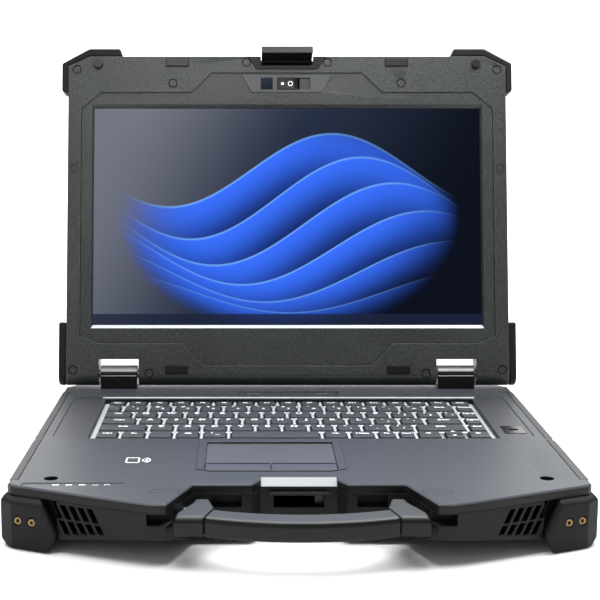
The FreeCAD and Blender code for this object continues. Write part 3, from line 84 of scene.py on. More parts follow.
class LaptopSizes(bpy.types.PropertyGroup):
    """Sizes of the rounding, the keys and the marks."""
    shell_edge: length("Shell edge", "Rounding of the case edges", 0.7)
    lid_edge: length("Lid edge", "Rounding of the lid edges", 1.2)
    rubber_edge: length("Rubber edge", "Rounding of the bumpers", 1.6)
    trim_edge: length("Trim edge", "Rounding of small pieces", 0.3)
    key_corner: length("Key corner", "Corner radius of a key cap", 1.3)
    key_dish: length("Key dish", "Depth of the hollow in a key cap", 0.25)
    letter_height: length("Letter height", "Size of a key's letter", 6.2)
    word_height: length("Word height", "Size of a key's word", 4.0)
    web_height: length("Web height", "Rise of the web between the keys", 3.0)
    web_play: length("Web play", "Room between the web and a key", 0.35)
    mark_lift: length("Mark lift", "Thickness of a printed mark", 0.06)


def colour(label, note, value):
    """A colour setting of the panel."""
    return FloatVectorProperty(name=label, description=note, default=value, subtype="COLOR", min=0, max=1)


class LaptopColours(bpy.types.PropertyGroup):
    """Colours of the finishes."""
    deck: colour("Deck", "Painted metal of the palm rest", tint(58, 61, 66))
    shell: colour("Shell", "Painted metal of the lid", tint(38, 41, 40))
    base: colour("Base", "Lower case", tint(23, 24, 23))
    rubber: colour("Rubber", "Corner bumpers", tint(30, 32, 31))
    cap: colour("Key cap", "Moulded key caps", tint(58, 61, 66))
    plate: colour("Key plate", "Bright plate under the keys", tint(206, 210, 214))
    legend: colour("Legend", "Printed legends", tint(240, 242, 244))
    brass: colour("Brass", "Bumper screws", tint(120, 104, 68))
    steel: colour("Steel", "Bare steel", tint(150, 152, 154))
    screen_low: colour("Screen left", "Left side of the screen", tint(112, 116, 130))
    screen_high: colour("Screen right", "Right side of the screen", tint(3, 9, 24))
    screen_glow: colour("Screen bands", "Bright bands on the screen", tint(56, 112, 255))


def sizes():
    """The size settings."""
    return bpy.context.scene.laptop_sizes


def colours():
    """The colour settings."""
    return bpy.context.scene.laptop_colours


# Shader groups

class Wiring:
    """A node tree and the short steps that fill it."""

    def __init__(self, tree):
        self.tree = tree

    def feed(self, value, socket):
        """Give a socket its value: a link from another socket, a colour, or a number or vector."""
        if isinstance(value, bpy.types.NodeSocket):
            self.tree.links.new(value, socket)
        elif socket.type == "RGBA":
            socket.default_value = (*tuple(value)[:3], 1)
        else:
            socket.default_value = value

    def fill(self, sockets, values):
        """Give several sockets of a node their values."""
        for label, value in values.items():
            self.feed(value, sockets[label])

    def add(self, kind, inputs=None, **settings):
        """A node with its settings, some of its sockets fed."""
        node = self.tree.nodes.new(kind)
        for name, value in settings.items():
            setattr(node, name, value)
        self.fill(node.inputs, inputs or {})
        return node

    def math(self, operation, first, second=0.0, clamp=False):
        """One step of arithmetic on sockets or numbers."""
        node = self.add("ShaderNodeMath", {0: first, 1: second}, operation=operation, use_clamp=clamp)
        return node.outputs[0]

    def mix(self, factor, first, second):
        """Two colours mixed by a factor."""
        return self.add("ShaderNodeMix", {0: factor, 6: first, 7: second}, data_type="RGBA").outputs[2]

    def noise(self, place, scale, detail):
        """A noise value over the surface."""
        sockets = {"Vector": place, "Scale": scale, "Detail": detail}
        return self.add("ShaderNodeTexNoise", sockets).outputs["Fac"]

    def ease(self, value, low, high, to_low=0.0, to_high=1.0):
        """A value eased from one range to another."""
        ends = {"Value": value, "From Min": low, "From Max": high, "To Min": to_low, "To Max": to_high}
        return self.add("ShaderNodeMapRange", ends, interpolation_type="SMOOTHSTEP").outputs["Result"]

    def fade(self, value, low, high, share=1.0):
        """A share that eases to nothing over a range."""
        return self.ease(value, low, high, to_low=share, to_high=0)

    def place(self):
        """A point's place on its piece."""
        return self.add("ShaderNodeTexCoord").outputs["Object"]

    def group(self, name, **values):
        """The outputs of a shared group placed with its own values."""
        shared = bpy.data.node_groups.get(name) or GROUP_MAKERS[name](name)
        return self.add("ShaderNodeGroup", values, node_tree=shared).outputs


def new_group(name, inputs, outputs):
    """An empty shader group's wiring, and the sockets of its start and its end. Inputs are given by their
    values and outputs by their kinds."""
    group = bpy.data.node_groups.new(name, "ShaderNodeTree")
    for label, value in inputs.items():
        kind = "Color" if isinstance(value, tuple) else "Float"
        socket = group.interface.new_socket(label, in_out="INPUT", socket_type="NodeSocket" + kind)
        socket.default_value = value
    for label, kind in outputs.items():
        group.interface.new_socket(label, in_out="OUTPUT", socket_type="NodeSocket" + kind)
    return Wiring(group), group.nodes.new("NodeGroupInput").outputs, group.nodes.new("NodeGroupOutput").inputs


GREY = (0.1, 0.1, 0.1, 1)
SPECK_SHARE, FINE_SCALE, FINE_SHARE, BRUSH_STRETCH = 0.9, 2.7, 0.4, 0.02


def make_tone_group(name):
    """Slow patches of a second tone, fine specks, and a roughness that follows them."""
    inputs = {"Colour": GREY, "Other": GREY, "Patches": 14, "Specks": 2600, "Roughness": 0.5, "Spread": 0.1}
    wires, start, end = new_group(name, inputs, {"Colour": "Color", "Roughness": "Float"})
    place = wires.place()
    slow, fine = wires.noise(place, start["Patches"], detail=3), wires.noise(place, start["Specks"], detail=2)
    patches = wires.ease(slow, low=0.36, high=0.66, to_low=0.36, to_high=0.64)
    specks = wires.ease(fine, low=0.34, high=0.7, to_low=-0.5, to_high=0.5)
    share = wires.math("ADD", patches, wires.math("MULTIPLY", specks, SPECK_SHARE), clamp=True)
    swing = wires.math("MULTIPLY", wires.math("SUBTRACT", share, 0.5), start["Spread"])
    wires.feed(wires.mix(share, start["Colour"], start["Other"]), end["Colour"])
    wires.feed(wires.math("ADD", start["Roughness"], swing, clamp=True), end["Roughness"])
    return wires.tree


def make_wear_and_highlight_group(name):
    """Edges turned to another tone, which stands for rubbed wear together with a painted highlight: the share
    by which a rounded normal leaves the true one.
    """
    wires, start, end = new_group(name, {"Colour": GREY, "Worn": GREY, "Reach": 0.0008, "Amount": 0.5},
                                  {"Colour": "Color", "Normal": "Vector"})
    rounded = wires.add("ShaderNodeBevel", {"Radius": start["Reach"]}, samples=4).outputs["Normal"]
    true = wires.add("ShaderNodeNewGeometry").outputs["Normal"]
    match = wires.add("ShaderNodeVectorMath", {0: rounded, 1: true}, operation="DOT_PRODUCT").outputs["Value"]
    edge = wires.ease(wires.math("SUBTRACT", 1, match), low=0.02, high=0.25)
    broken = wires.ease(wires.noise(wires.place(), scale=160, detail=4), low=0.35, high=0.65, to_low=0.35)
    mask = wires.math("MULTIPLY", wires.math("MULTIPLY", edge, broken), start["Amount"], clamp=True)
    wires.feed(rounded, end["Normal"])
    wires.feed(wires.mix(mask, start["Colour"], start["Worn"]), end["Colour"])
    return wires.tree


def make_grain_group(name):
    """Pebbled grain of moulded or textured paint: cells over a finer noise."""
    wires, start, end = new_group(name, {"Scale": 1400}, {"Height": "Float"})
    place = wires.place()
    cells = wires.add("ShaderNodeTexVoronoi", {"Vector": place, "Scale": start["Scale"]}, feature="SMOOTH_F1")
    fine = wires.noise(place, wires.math("MULTIPLY", start["Scale"], FINE_SCALE), detail=2)
    height = wires.math("ADD", cells.outputs["Distance"], wires.math("MULTIPLY", fine, FINE_SHARE))
    wires.feed(height, end["Height"])
    return wires.tree


def make_brush_group(name):
    """Long fine scratches along X, as left by brushing or milling."""
    wires, start, end = new_group(name, {"Scale": 900}, {"Height": "Float"})
    stretched = wires.add("ShaderNodeMapping", {"Vector": wires.place(), "Scale": (BRUSH_STRETCH, 1, 1)})
    wires.feed(wires.noise(stretched.outputs["Vector"], start["Scale"], detail=3), end["Height"])
    return wires.tree


def make_upright_shade_group(name):
    """Painted shade: a second tone on the faces that stand upright, picked by the rise of the surface's own
    normal.
    """
    wires, start, end = new_group(name, {"Colour": GREY, "Sides": GREY, "From": 0.25, "To": 0.6},
                                  {"Colour": "Color"})
    normal = wires.add("ShaderNodeTexCoord").outputs["Normal"]
    level = wires.add("ShaderNodeSeparateXYZ", {0: normal}).outputs["Z"]
    level = wires.ease(level, start["From"], start["To"])
    wires.feed(wires.mix(level, start["Sides"], start["Colour"]), end["Colour"])
    return wires.tree


def make_ribbon_group(name):
    """A soft band across the screen: how near a point lies to a sine line, faded towards its lower side."""
    inputs = {"Across": 0, "Up": 0, "Level": 0, "Swing": 0.2, "Turns": 3, "Start": 0, "Width": 0.2}
    wires, start, end = new_group(name, inputs, {"Mask": "Float", "Rim": "Float", "Body": "Float"})
    turn = wires.math("ADD", wires.math("MULTIPLY", start["Across"], start["Turns"]), start["Start"])
    wave = wires.math("MULTIPLY", wires.math("SINE", turn), start["Swing"])
    line = wires.math("ADD", start["Level"], wave)
    depth = wires.math("DIVIDE", wires.math("SUBTRACT", line, start["Up"]), start["Width"])
    inside = wires.ease(depth, low=0, high=0.03)
    wires.feed(wires.math("MULTIPLY", inside, wires.fade(depth, low=0, high=1)), end["Mask"])
    wires.feed(wires.fade(depth, low=0.015, high=0.07, share=0.85), end["Rim"])
    wires.feed(wires.math("MULTIPLY", inside, wires.fade(depth, low=1, high=1.5)), end["Body"])
    return wires.tree


GROUP_MAKERS = {
    "tone_drift": make_tone_group, "edge_wear": make_wear_and_highlight_group, "moulded_grain": make_grain_group,
    "brushed_lines": make_brush_group, "upright_tone": make_upright_shade_group, "screen_ribbon": make_ribbon_group,
}


def shade(value, factor):
    """A colour made darker or lighter."""
    return tuple(min(1.0, channel * factor) for channel in value)


RELIEF_DEPTH = 0.0002


def new_material(name):
    """A material, its wiring and its surface's sockets."""
    material = bpy.data.materials.new(name)
    material.use_nodes = True
    return material, Wiring(material.node_tree), material.node_tree.nodes["Principled BSDF"].inputs


def finish(name, base, other=1.2, rough=0.4, spread=0.1, metal=0.0, grain=900, relief=0.1, worn_and_lit=2, wear=0.3,
           reach=0.0004, patches=14, brushed=False, side_shade=None, specks=2600, shine=0.5, rise=(0.25, 0.6)):
    """A procedural finish: two drifting tones, an edge tone that stands for rubbed wear together with a
    painted highlight, a varied roughness and a relief. Other and worn_and_lit are factors on the base tone,
    wear is the share of the edge tone, grain, patches and specks are scales over a metre, and reach is the
    width of the edge tone in metres. Sides, where given, is the painted shade of the faces that stand
    upright, and rise is the range of slopes where it gives way."""
    material = bpy.data.materials.get(name)
    if material:
        return material
    material, wires, surface = new_material(name)
    tone = wires.group("tone_drift", Colour=base, Other=shade(base, other), Patches=patches, Specks=specks,
                       Roughness=rough, Spread=spread)
    edge = wires.group("edge_wear", Colour=tone["Colour"], Worn=shade(base, worn_and_lit), Amount=wear, Reach=reach)
    paint = edge["Colour"]
    if side_shade:
        paint = wires.group("upright_tone", Colour=paint, Sides=side_shade, From=rise[0], To=rise[1])["Colour"]
    height = wires.group("brushed_lines" if brushed else "moulded_grain", Scale=grain)["Height"]
    bump = wires.add("ShaderNodeBump", {"Strength": relief, "Distance": RELIEF_DEPTH, "Height": height,
                                        "Normal": edge["Normal"]})
    wires.fill(surface, {"Metallic": metal, "Specular IOR Level": shine, "Base Color": paint,
                         "Roughness": tone["Roughness"], "Normal": bump.outputs["Normal"]})
    return material


# The screen's picture: the screen's height and its middle's distance from the lid's axis are in metres, and
# all places and widths are shares of that height, from the middle
SCREEN_HEIGHT = 0.174
SCREEN_MIDDLE = 0.1259
SCREEN_BLACK = (0.001, 0.001, 0.0015)
FADE_MIDDLE, RIBBON_RIM, BAR_TONE = tint(34, 44, 64), tint(128, 188, 255), tint(26, 34, 58)
FADE_SLANT, OVAL_ACROSS, OVAL_UP = 0.5, 0.8, 0.56
BAR_TOP, BAR_EASE, BAR_SHARE = -0.45, 0.002, 0.85
SCREEN_RIBBONS = [
    dict(Level=0.22, Swing=0.17, Turns=4.2, Start=0.7, Width=0.26),
    dict(Level=0.09, Swing=0.19, Turns=4.0, Start=0.2, Width=0.24),
    dict(Level=-0.03, Swing=0.19, Turns=3.8, Start=-0.3, Width=0.24),
    dict(Level=-0.14, Swing=0.17, Turns=3.7, Start=-0.8, Width=0.22),
    dict(Level=-0.25, Swing=0.14, Turns=3.6, Start=-1.2, Width=0.2),
    dict(Level=-0.34, Swing=0.1, Turns=3.5, Start=-1.6, Width=0.16),
]
RIBBON_DEPTHS = (0.1, 0.12)


def screen_place(wires):
    """A point's place across and up the screen, from its middle, as shares of its height."""
    scale = 1 / SCREEN_HEIGHT
    drop = AXIS_Y * math.sin(LEAN) + AXIS_Z * math.cos(LEAN) + SCREEN_MIDDLE
    turned = wires.add("ShaderNodeMapping", {"Vector": wires.place(), "Location": (0, 0, -drop * scale),
                                             "Rotation": (LEAN, 0, 0), "Scale": (scale, scale, scale)})
    axes = wires.add("ShaderNodeSeparateXYZ", {0: turned.outputs["Vector"]}).outputs
    return axes["X"], axes["Z"]


def screen_finish():
    """The lit screen: a grey-to-navy fade, a few soft blue ribbons and a slim bar along the bottom."""
    material = bpy.data.materials.get("lit_screen")
    if material:
        return material
    material, wires, surface = new_material("lit_screen")
    across, up = screen_place(wires)
    tones = colours()
    slant = wires.math("SUBTRACT", across, wires.math("MULTIPLY", up, FADE_SLANT))
    picture = wires.mix(wires.ease(slant, low=-1.05, high=-0.1), tones.screen_low, FADE_MIDDLE)
    picture = wires.mix(wires.ease(slant, low=-0.25, high=0.75), picture, tones.screen_high)
    squares = [wires.math("POWER", wires.math("DIVIDE", value, half), 2)
               for value, half in ((across, OVAL_ACROSS), (up, OVAL_UP))]
    spread = wires.fade(wires.math("ADD", *squares), low=0.2, high=1)
    for index, shape in enumerate(SCREEN_RIBBONS):
        ribbon = wires.group("screen_ribbon", Across=across, Up=up, **shape)
        deep = shade(tones.screen_glow, RIBBON_DEPTHS[index % 2])
        body = wires.mix(ribbon["Mask"], deep, tones.screen_glow)
        body = wires.mix(ribbon["Rim"], body, RIBBON_RIM)
        picture = wires.mix(wires.math("MULTIPLY", ribbon["Body"], spread), picture, body)
    bar = wires.fade(up, BAR_TOP - BAR_EASE, BAR_TOP + BAR_EASE, BAR_SHARE)
    wires.fill(surface, {"Base Color": SCREEN_BLACK, "Roughness": 0.18, "Specular IOR Level": 0.06,
                         "Emission Strength": 1, "Emission Color": wires.mix(bar, picture, BAR_TONE)})
    return material


# Finishes of the pieces: pairs of some nodes and the finish that they wear

def case_looks(tones):
    """What the case, the bumpers, the doors, the handle, the screws and other bare steel wear."""
    return [
        (("top_case", "touchpad_frame", "status_lens"),
         # Painted shade and highlight: the deck's upright faces are painted near black, and its edges take a
         # lighter edge tone that is partly a painted highlight.
         finish("deck_paint", tones.deck, other=1.12, rough=0.48, spread=0.12, metal=0.1, grain=2600,
                relief=0.12, worn_and_lit=2.6, wear=0.7, reach=0.0009, patches=9, side_shade=tint(10, 11, 11),
                shine=0.25)),
        (("bottom_case",),
         # Painted shade: the base's upright faces are painted darker than its top.
         finish("base_paint", tones.base, rough=0.55, spread=0.12, grain=1800, relief=0.2, reach=0.0009,
                patches=10, side_shade=tint(14, 15, 13), shine=0.2)),
        (("front_bumpers", "rear_bumpers", "lid_bumpers"),
         # Painted shade: the bumpers' upright faces are painted darker than their tops.
         finish("bumper_rubber", tones.rubber, rough=0.62, spread=0.14, grain=1500, relief=0.25, worn_and_lit=1.9,
                reach=0.0014, patches=18, side_shade=tint(10, 11, 10), shine=0.2)),
        (SIDE_DOORS,
         finish("door_rubber", tint(28, 29, 29), other=1.25, rough=0.58, grain=1700, relief=0.2, worn_and_lit=1.9,
                wear=0.35, reach=0.0007, patches=20)),
        (("handle_arms", "handle_grip"),
         # Painted light: the handle's tops carry a painted highlight in light grey, and its upright faces a
         # painted shade near black.
         finish("handle_rubber_lit_and_shaded", tint(60, 63, 64), other=1.18, rough=0.42, spread=0.12, grain=1500,
                relief=0.18, wear=0.5, reach=0.0012, side_shade=tint(9, 10, 9), shine=0.22, rise=(0.7, 0.92))),
        (("hinge_knuckles",),
         # Painted light: the knuckles' tops are painted pale grey as a painted highlight on the barrels, and
         # their upright faces near black as painted shade.
         finish("knuckle_paint_and_highlight", tint(130, 132, 134), other=1.1, rough=0.32, spread=0.12, metal=0.2,
                grain=2200, relief=0.06, worn_and_lit=1.4, wear=0.4, reach=0.0006, patches=20, side_shade=tint(9, 10, 10),
                shine=0.4, rise=(0.4, 0.55))),
        (("bumper_screws",),
         finish("brass_screw", tones.brass, other=0.75, rough=0.3, spread=0.12, metal=1.0, grain=1200,
                worn_and_lit=1.3, wear=0.4, patches=60)),
        (("bottom_screws", "pivot_pins", "lid_pins", "panel_backing"),
         finish("bare_steel", tones.steel, other=0.85, rough=0.3, spread=0.12, metal=1.0, grain=1400,
                relief=0.12, worn_and_lit=1.25, wear=0.4, patches=40, brushed=True)),
    ]


def deck_looks(tones):
    """What the keyboard, the touchpad and the buttons wear."""
    return [
        (KEY_ROWS,
         # Painted shade: the caps' upright skirts are painted near black, the shade of the gaps between the
         # rows.
         finish("key_cap_plastic", tones.cap, other=1.15, rough=0.5, spread=0.12, grain=3200, relief=0.12,
                worn_and_lit=1.6, wear=0.4, reach=0.0005, patches=30, side_shade=tint(7, 8, 10), shine=0.35,
                rise=(0.75, 0.95))),
        (("keyboard_plate", "keyboard_trim"),
         finish("key_plate_metal", tones.plate, other=0.9, rough=0.34, metal=0.25, grain=700, relief=0.05,
                worn_and_lit=1.1, wear=0.2, reach=0.0005, patches=20, brushed=True)),
        (("side_panels",),
         finish("side_panel_paint", tint(46, 48, 52), other=1.15, rough=0.5, metal=0.1, grain=2600,
                relief=0.14, worn_and_lit=1.8, reach=0.0005)),
        (("touchpad_surface",),
         finish("touchpad_film", tint(76, 78, 80), other=1.1, metal=0.1, grain=3600, relief=0.08, worn_and_lit=1.5)),
        (TOUCHPAD_BUTTONS,
         finish("touchpad_key_plastic", tint(72, 74, 77), other=1.12, rough=0.36, metal=0.1, grain=3600,
                relief=0.06, worn_and_lit=1.7, wear=0.5, reach=0.0005)),
        (("power_button", "menu_button"),
         finish("dark_trim", tint(46, 48, 52), other=1.25, metal=0.2, grain=2600, relief=0.08, wear=0.4)),
        (("fingerprint_reader",),
         finish("dark_lens", tint(15, 17, 19), rough=0.22, spread=0.06, grain=3000, relief=0.02, worn_and_lit=2.5,
                wear=0.4, reach=0.0003, shine=0.2)),
    ]


def lid_looks(tones):
    """What the lid, its camera and its latch wear."""
    return [
        (("lid_frame", "lid_back_cover", "screw_plugs"),
         # Painted highlight: the strong edge tone draws bright lines along the lid's edges, mixed with rubbed
         # wear.
         finish("lid_paint", tones.shell, other=2, spread=0.16, metal=0.1, relief=0.9, worn_and_lit=7, wear=0.7,
                reach=0.0011, patches=9, specks=800, shine=0.35)),
        (("screen_surround",),
         # Painted highlight: the strong edge tone draws bright lines along the surround's edges, mixed with
         # rubbed wear.
         finish("surround_plastic", tint(36, 39, 38), other=2, spread=0.14, metal=0.1, relief=0.9, worn_and_lit=5,
                wear=0.6, reach=0.0008, specks=800, shine=0.35)),
        (("camera_panel",),
         finish("camera_panel_plastic", tint(48, 51, 50), other=1.6, metal=0.1, grain=750, relief=0.5,
                worn_and_lit=2.2, wear=0.4, specks=700, shine=0.4)),
        (("camera_shutter",),
         finish("shutter_plastic", tint(9, 10, 11), other=1.3, rough=0.36, grain=2600, worn_and_lit=2.2, wear=0.4,
                shine=0.2)),
        (("camera_module",),
         finish("camera_eye_glass", tint(3, 13, 30), other=1.6, rough=0.12, spread=0.06, grain=3000,
                relief=0.01, worn_and_lit=1.6, wear=0.2, reach=0.0003, patches=160, shine=0.15)),
        (("rest_pads",),
         finish("rest_rubber", tint(8, 9, 9), other=1.4, rough=0.34, grain=1800, worn_and_lit=5, reach=0.0006,
                patches=40, shine=0.3)),
        (("latch_strike", "latch"),
         finish("latch_paint", tint(12, 13, 13), other=1.4, rough=0.34, grain=1500, relief=0.15, worn_and_lit=3,
                wear=0.35, reach=0.0006, patches=20, shine=0.3)),
        (("screen_glass",), screen_finish()),
    ]


def inner_looks():
    """What the nodes inside the case and the lid, and the ports, wear."""
    return [
        (("main_board", "plug_in_cards"),
         finish("board_lacquer", tint(24, 74, 48), other=0.55, rough=0.35, grain=600, relief=0.2, worn_and_lit=2.2,
                patches=180)),
        (("processor", "display_panel"),
         finish("chip_lid", tint(120, 122, 126), other=0.8, rough=0.32, metal=0.9, grain=1600, relief=0.06,
                worn_and_lit=1.3, patches=60, brushed=True)),
        (("heat_sink", "heat_pipe"),
         finish("copper", tint(184, 112, 76), other=0.8, rough=0.3, spread=0.14, metal=1.0, grain=1100,
                worn_and_lit=1.4, wear=0.4, patches=40, brushed=True)),
        (("battery_pack",),
         finish("battery_wrap", tint(12, 13, 15), other=1.3, rough=0.38, relief=0.08, reach=0.0006,
                patches=24)),
        (("storage_drive",),
         finish("drive_case", tint(140, 144, 148), other=0.85, rough=0.36, spread=0.12, metal=0.8, worn_and_lit=1.3,
                reach=0.0005, patches=24, brushed=True)),
        (("fan_housing", "fan_rotor", "speakers"),
         finish("fan_plastic", tint(30, 31, 32), other=1.3, rough=0.45, grain=1600, relief=0.12,
                reach=0.0005)),
        (("left_ports", "right_ports", "rear_ports"),
         finish("port_metal", tint(132, 134, 136), other=0.8, rough=0.34, metal=0.9, grain=1600, relief=0.08,
                worn_and_lit=1.3, reach=0.0003, patches=60, brushed=True)),
    ]


def finishes():
    """The finish of every CAD node, by its name."""
    tones = colours()
    looks = [*case_looks(tones), *deck_looks(tones), *lid_looks(tones), *inner_looks()]
    return {node: material for nodes, material in looks for node in nodes}


def ink():
    """The pale print of the legends and marks."""
    return finish("legend_ink", colours().legend, other=0.92, rough=0.5, grain=3000, relief=0.02, worn_and_lit=1.0,
                  wear=0.0, reach=0.0008)


def seam_shadow():
    """The dark of a narrow gap."""
    return finish("seam_shadow", tint(8, 9, 9), rough=0.6, grain=3000, relief=0.02, worn_and_lit=1.0, wear=0.0,
                  reach=0.0008, shine=0.15)


def body_of(node):
    """The body that carries a node."""
    for name, members in frame["record"]["behaviour"]["bodies"].items():
        if node in members:
            return name
    raise RuntimeError(f"no body carries {node}")


def put(name, mesh, body, material):
    """A finished mesh made a piece that rides on a body."""
    piece = bpy.data.objects.new(name, mesh)
    bpy.context.scene.collection.objects.link(piece)
    mesh.materials.append(material)
    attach(piece, body)
    return piece


def solid(name, points, faces, smooth=True):
    """A mesh from points and faces."""
    mesh = bpy.data.meshes.new(name)
    mesh.from_pydata(np.asarray(points).tolist(), [], faces)
    mesh.validate()
    mesh.polygons.foreach_set("use_smooth", np.full(len(mesh.polygons), smooth))
    return mesh


def outward(mesh):
    """Turn a mesh's faces outward."""
    work = bmesh.new()
    work.from_mesh(mesh)
    bmesh.ops.recalc_face_normals(work, faces=work.faces)
    work.to_mesh(mesh)
    work.free()
    return mesh


def points_of(mesh):
    """A mesh's points."""
    points = np.empty(len(mesh.vertices) * 3)
    mesh.vertices.foreach_get("co", points)
    return points.reshape(-1, 3)


def grid_faces(rows, columns, closed=False):
    """Quads between the rows of a grid, whose columns may run round."""
    across = columns if closed else columns - 1
    row, here = np.meshgrid(np.arange(rows - 1), np.arange(across), indexing="ij")
    after = (here + 1) % columns
    near, far = row * columns, (row + 1) * columns
    return np.stack([near + here, near + after, far + after, far + here], -1).reshape(-1, 4).tolist()


def joined(parts):
    """The points and faces of several parts as those of one."""
    starts = np.cumsum([0] + [len(points) for points, _ in parts]).tolist()
    faces = [[i + start for i in face] for (_, some), start in zip(parts, starts) for face in some]
    return np.concatenate([points for points, _ in parts]), faces


def round_edges(piece, width, segments=2):
    """A Bevel modifier on a piece."""
    edge = piece.modifiers.new("rounded edges", "BEVEL")
    edge.width = width
    edge.segments = segments
    return edge


# Rounding: lengths in metres, angles in degrees, slopes as parts of a unit normal, and the front bumpers'
# upper edges as a multiple of their other ones
TOUCH, FLAT_ANGLE = 1e-5, 0.6
UPRIGHT, FORWARD = 0.5, -0.3
BUMPER_CROWN = 3
CAP_CREASE, RING_CREASE = 50, 30


def weigh_edges(work, share, limit):
    """Give a solid's outer upper edges the whole bevel width and its other sharp edges a share of it."""
    weight = work.edges.layers.float.new("bevel_weight_edge")
    top = max(vertex.co.z for vertex in work.verts)
    for edge in work.edges:
        if len(edge.link_faces) != 2 or edge.calc_face_angle(0) < math.radians(limit):
            continue
        middle = (edge.verts[0].co + edge.verts[1].co) / 2
        outer = any(face.normal.z < UPRIGHT and (face.normal.x * middle.x > 0 or face.normal.y < FORWARD)
                    for face in edge.link_faces)
        level = abs(middle.z - top) < TOUCH and abs(edge.verts[0].co.z - top) < TOUCH
        edge[weight] = 1.0 if level and outer else share


def rounded_copy(node, width, segments=2, limit=32, clamp=False, crown=None):
    """A copy of a node's solid, its triangles merged into whole faces and its edges rounded by a Bevel
    modifier. Limit is the least angle, in degrees, of an edge that is rounded, and crown, where given, is the
    width on the outer upper edges."""
    source = frame["nodes"][node].data
    work = bmesh.new()
    work.from_mesh(source)
    bmesh.ops.remove_doubles(work, verts=work.verts, dist=TOUCH)
    bmesh.ops.dissolve_limit(work, angle_limit=math.radians(FLAT_ANGLE), verts=work.verts,
                             edges=work.edges)
    if crown:
        work.normal_update()
        weigh_edges(work, width / crown, limit)
    mesh = bpy.data.meshes.new(node + "_shell")
    work.to_mesh(mesh)
    work.free()
    mesh.materials.clear()
    mesh.polygons.foreach_set("use_smooth", np.ones(len(mesh.polygons), bool))
    mesh.set_sharp_from_angle(angle=math.radians(limit))
    piece = put(node + "_shell", mesh, body_of(node), finishes()[node])
    edge = round_edges(piece, crown or width, segments)
    edge.limit_method = "WEIGHT" if crown else "ANGLE"
    edge.angle_limit = math.radians(limit)
    edge.use_clamp_overlap = clamp
    edge.harden_normals = True
    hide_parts(node)


class LAPTOP_OT_finishes(bpy.types.Operator):
    """Give every CAD node its finish"""
    bl_idname = "laptop.finishes"
    bl_label = "Finishes"

    def execute(self, context):
        looks = finishes()
        missing = sorted(set(frame["nodes"]) - set(looks))
        if missing:
            raise RuntimeError(f"no finish for {missing}")
        for name, piece in frame["nodes"].items():
            if not piece.material_slots:
                piece.data.materials.append(looks[name])
            for holder in piece.material_slots:
                holder.material = looks[name]
        return {"FINISHED"}


class LAPTOP_OT_shells(bpy.types.Operator):
    """Round the edges of the case, lid, bumpers, handle and small trim"""
    bl_idname = "laptop.shells"
    bl_label = "Rounded shells"

    def execute(self, context):
        lengths = sizes()
        for node in ("top_case", "bottom_case", "screen_surround"):
            rounded_copy(node, lengths.shell_edge, clamp=True)
        for node in ("lid_frame", "lid_back_cover"):
            rounded_copy(node, lengths.lid_edge, clamp=True)
        rounded_copy("front_bumpers", lengths.rubber_edge, limit=25, crown=BUMPER_CROWN * lengths.rubber_edge)
        for node in ("rear_bumpers", "lid_bumpers"):
            rounded_copy(node, lengths.rubber_edge, segments=3, limit=25)
        for node in ("handle_arms", "handle_grip"):
            rounded_copy(node, lengths.rubber_edge, segments=3, limit=20)
        for node in SMALL_TRIM:
            rounded_copy(node, lengths.trim_edge)
        return {"FINISHED"}


def islands(node):
    """Boxes of a node's solids: points that meet share a label, and the least label spreads along edges."""
    mesh = frame["nodes"][node].data
    points, same = np.unique(np.round(points_of(mesh), 6), axis=0, return_inverse=True)
    corners = np.empty(len(mesh.loops), int)
    mesh.loops.foreach_get("vertex_index", corners)
    triangles = same.reshape(-1)[corners].reshape(-1, 3)
    label = np.arange(len(points))
    while True:
        least = label[triangles].min(1)
        spread = label.copy()
        for k in range(3):
            np.minimum.at(spread, triangles[:, k], least)
        if (spread == label).all():
            break
        label = spread
    boxes = [(points[label == k].min(0), points[label == k].max(0)) for k in np.unique(label)]
    return sorted(boxes, key=lambda box: (round(box[0][0] + box[1][0], 3), box[0][1]))


def rounded_outline(half_x, half_y, radius, steps=5):
    """A rectangle with round corners: each corner's centre plus the radius turned a quarter circle."""
    angle = (np.arange(4)[:, None] * 0.5 + np.linspace(0, 0.5, steps)) * math.pi
    side_x, side_y = np.array([[1], [-1], [-1], [1]]), np.array([[1], [1], [-1], [-1]])
    x = side_x * (half_x - radius) + radius * np.cos(angle)
    y = side_y * (half_y - radius) + radius * np.sin(angle)
    return np.stack([x.ravel(), y.ravel()], -1)


# A key cap's rings: the share of its height and the inset in millimetres
CAP_HEIGHT = 2.2 * MM
CAP_RINGS = ((0.0, 0.0), (0.1, 0.0), (0.55, 0.45), (0.86, 0.85), (0.965, 1.05), (1.0, 1.55))
HOLLOW_SHARE = 0.45


def key_cap(low, high, corner, dish):
    """A key cap's points and faces: rounded rectangles stacked from the skirt to the top edge, each drawn in
    a little more, then a lower one near the middle that hollows the top."""
    middle, half = (low + high) / 2, (high - low) / 2
    rings = []
    for rise, inset in CAP_RINGS:
        outline = rounded_outline(half[0] - inset * MM, half[1] - inset * MM, corner)
        rings.append(np.column_stack([outline, np.full(len(outline), high[2] - CAP_HEIGHT * (1 - rise))]))
    rings.append(rings[-1] * [HOLLOW_SHARE, HOLLOW_SHARE, 1] - [0, 0, dish])
    around, last = len(rings[0]), (len(rings) - 1) * len(rings[0])
    faces = grid_faces(len(rings), around, closed=True)
    faces += [list(range(last, last + around)), list(range(around - 1, -1, -1))]
    return np.concatenate(rings) + [middle[0], middle[1], 0], faces


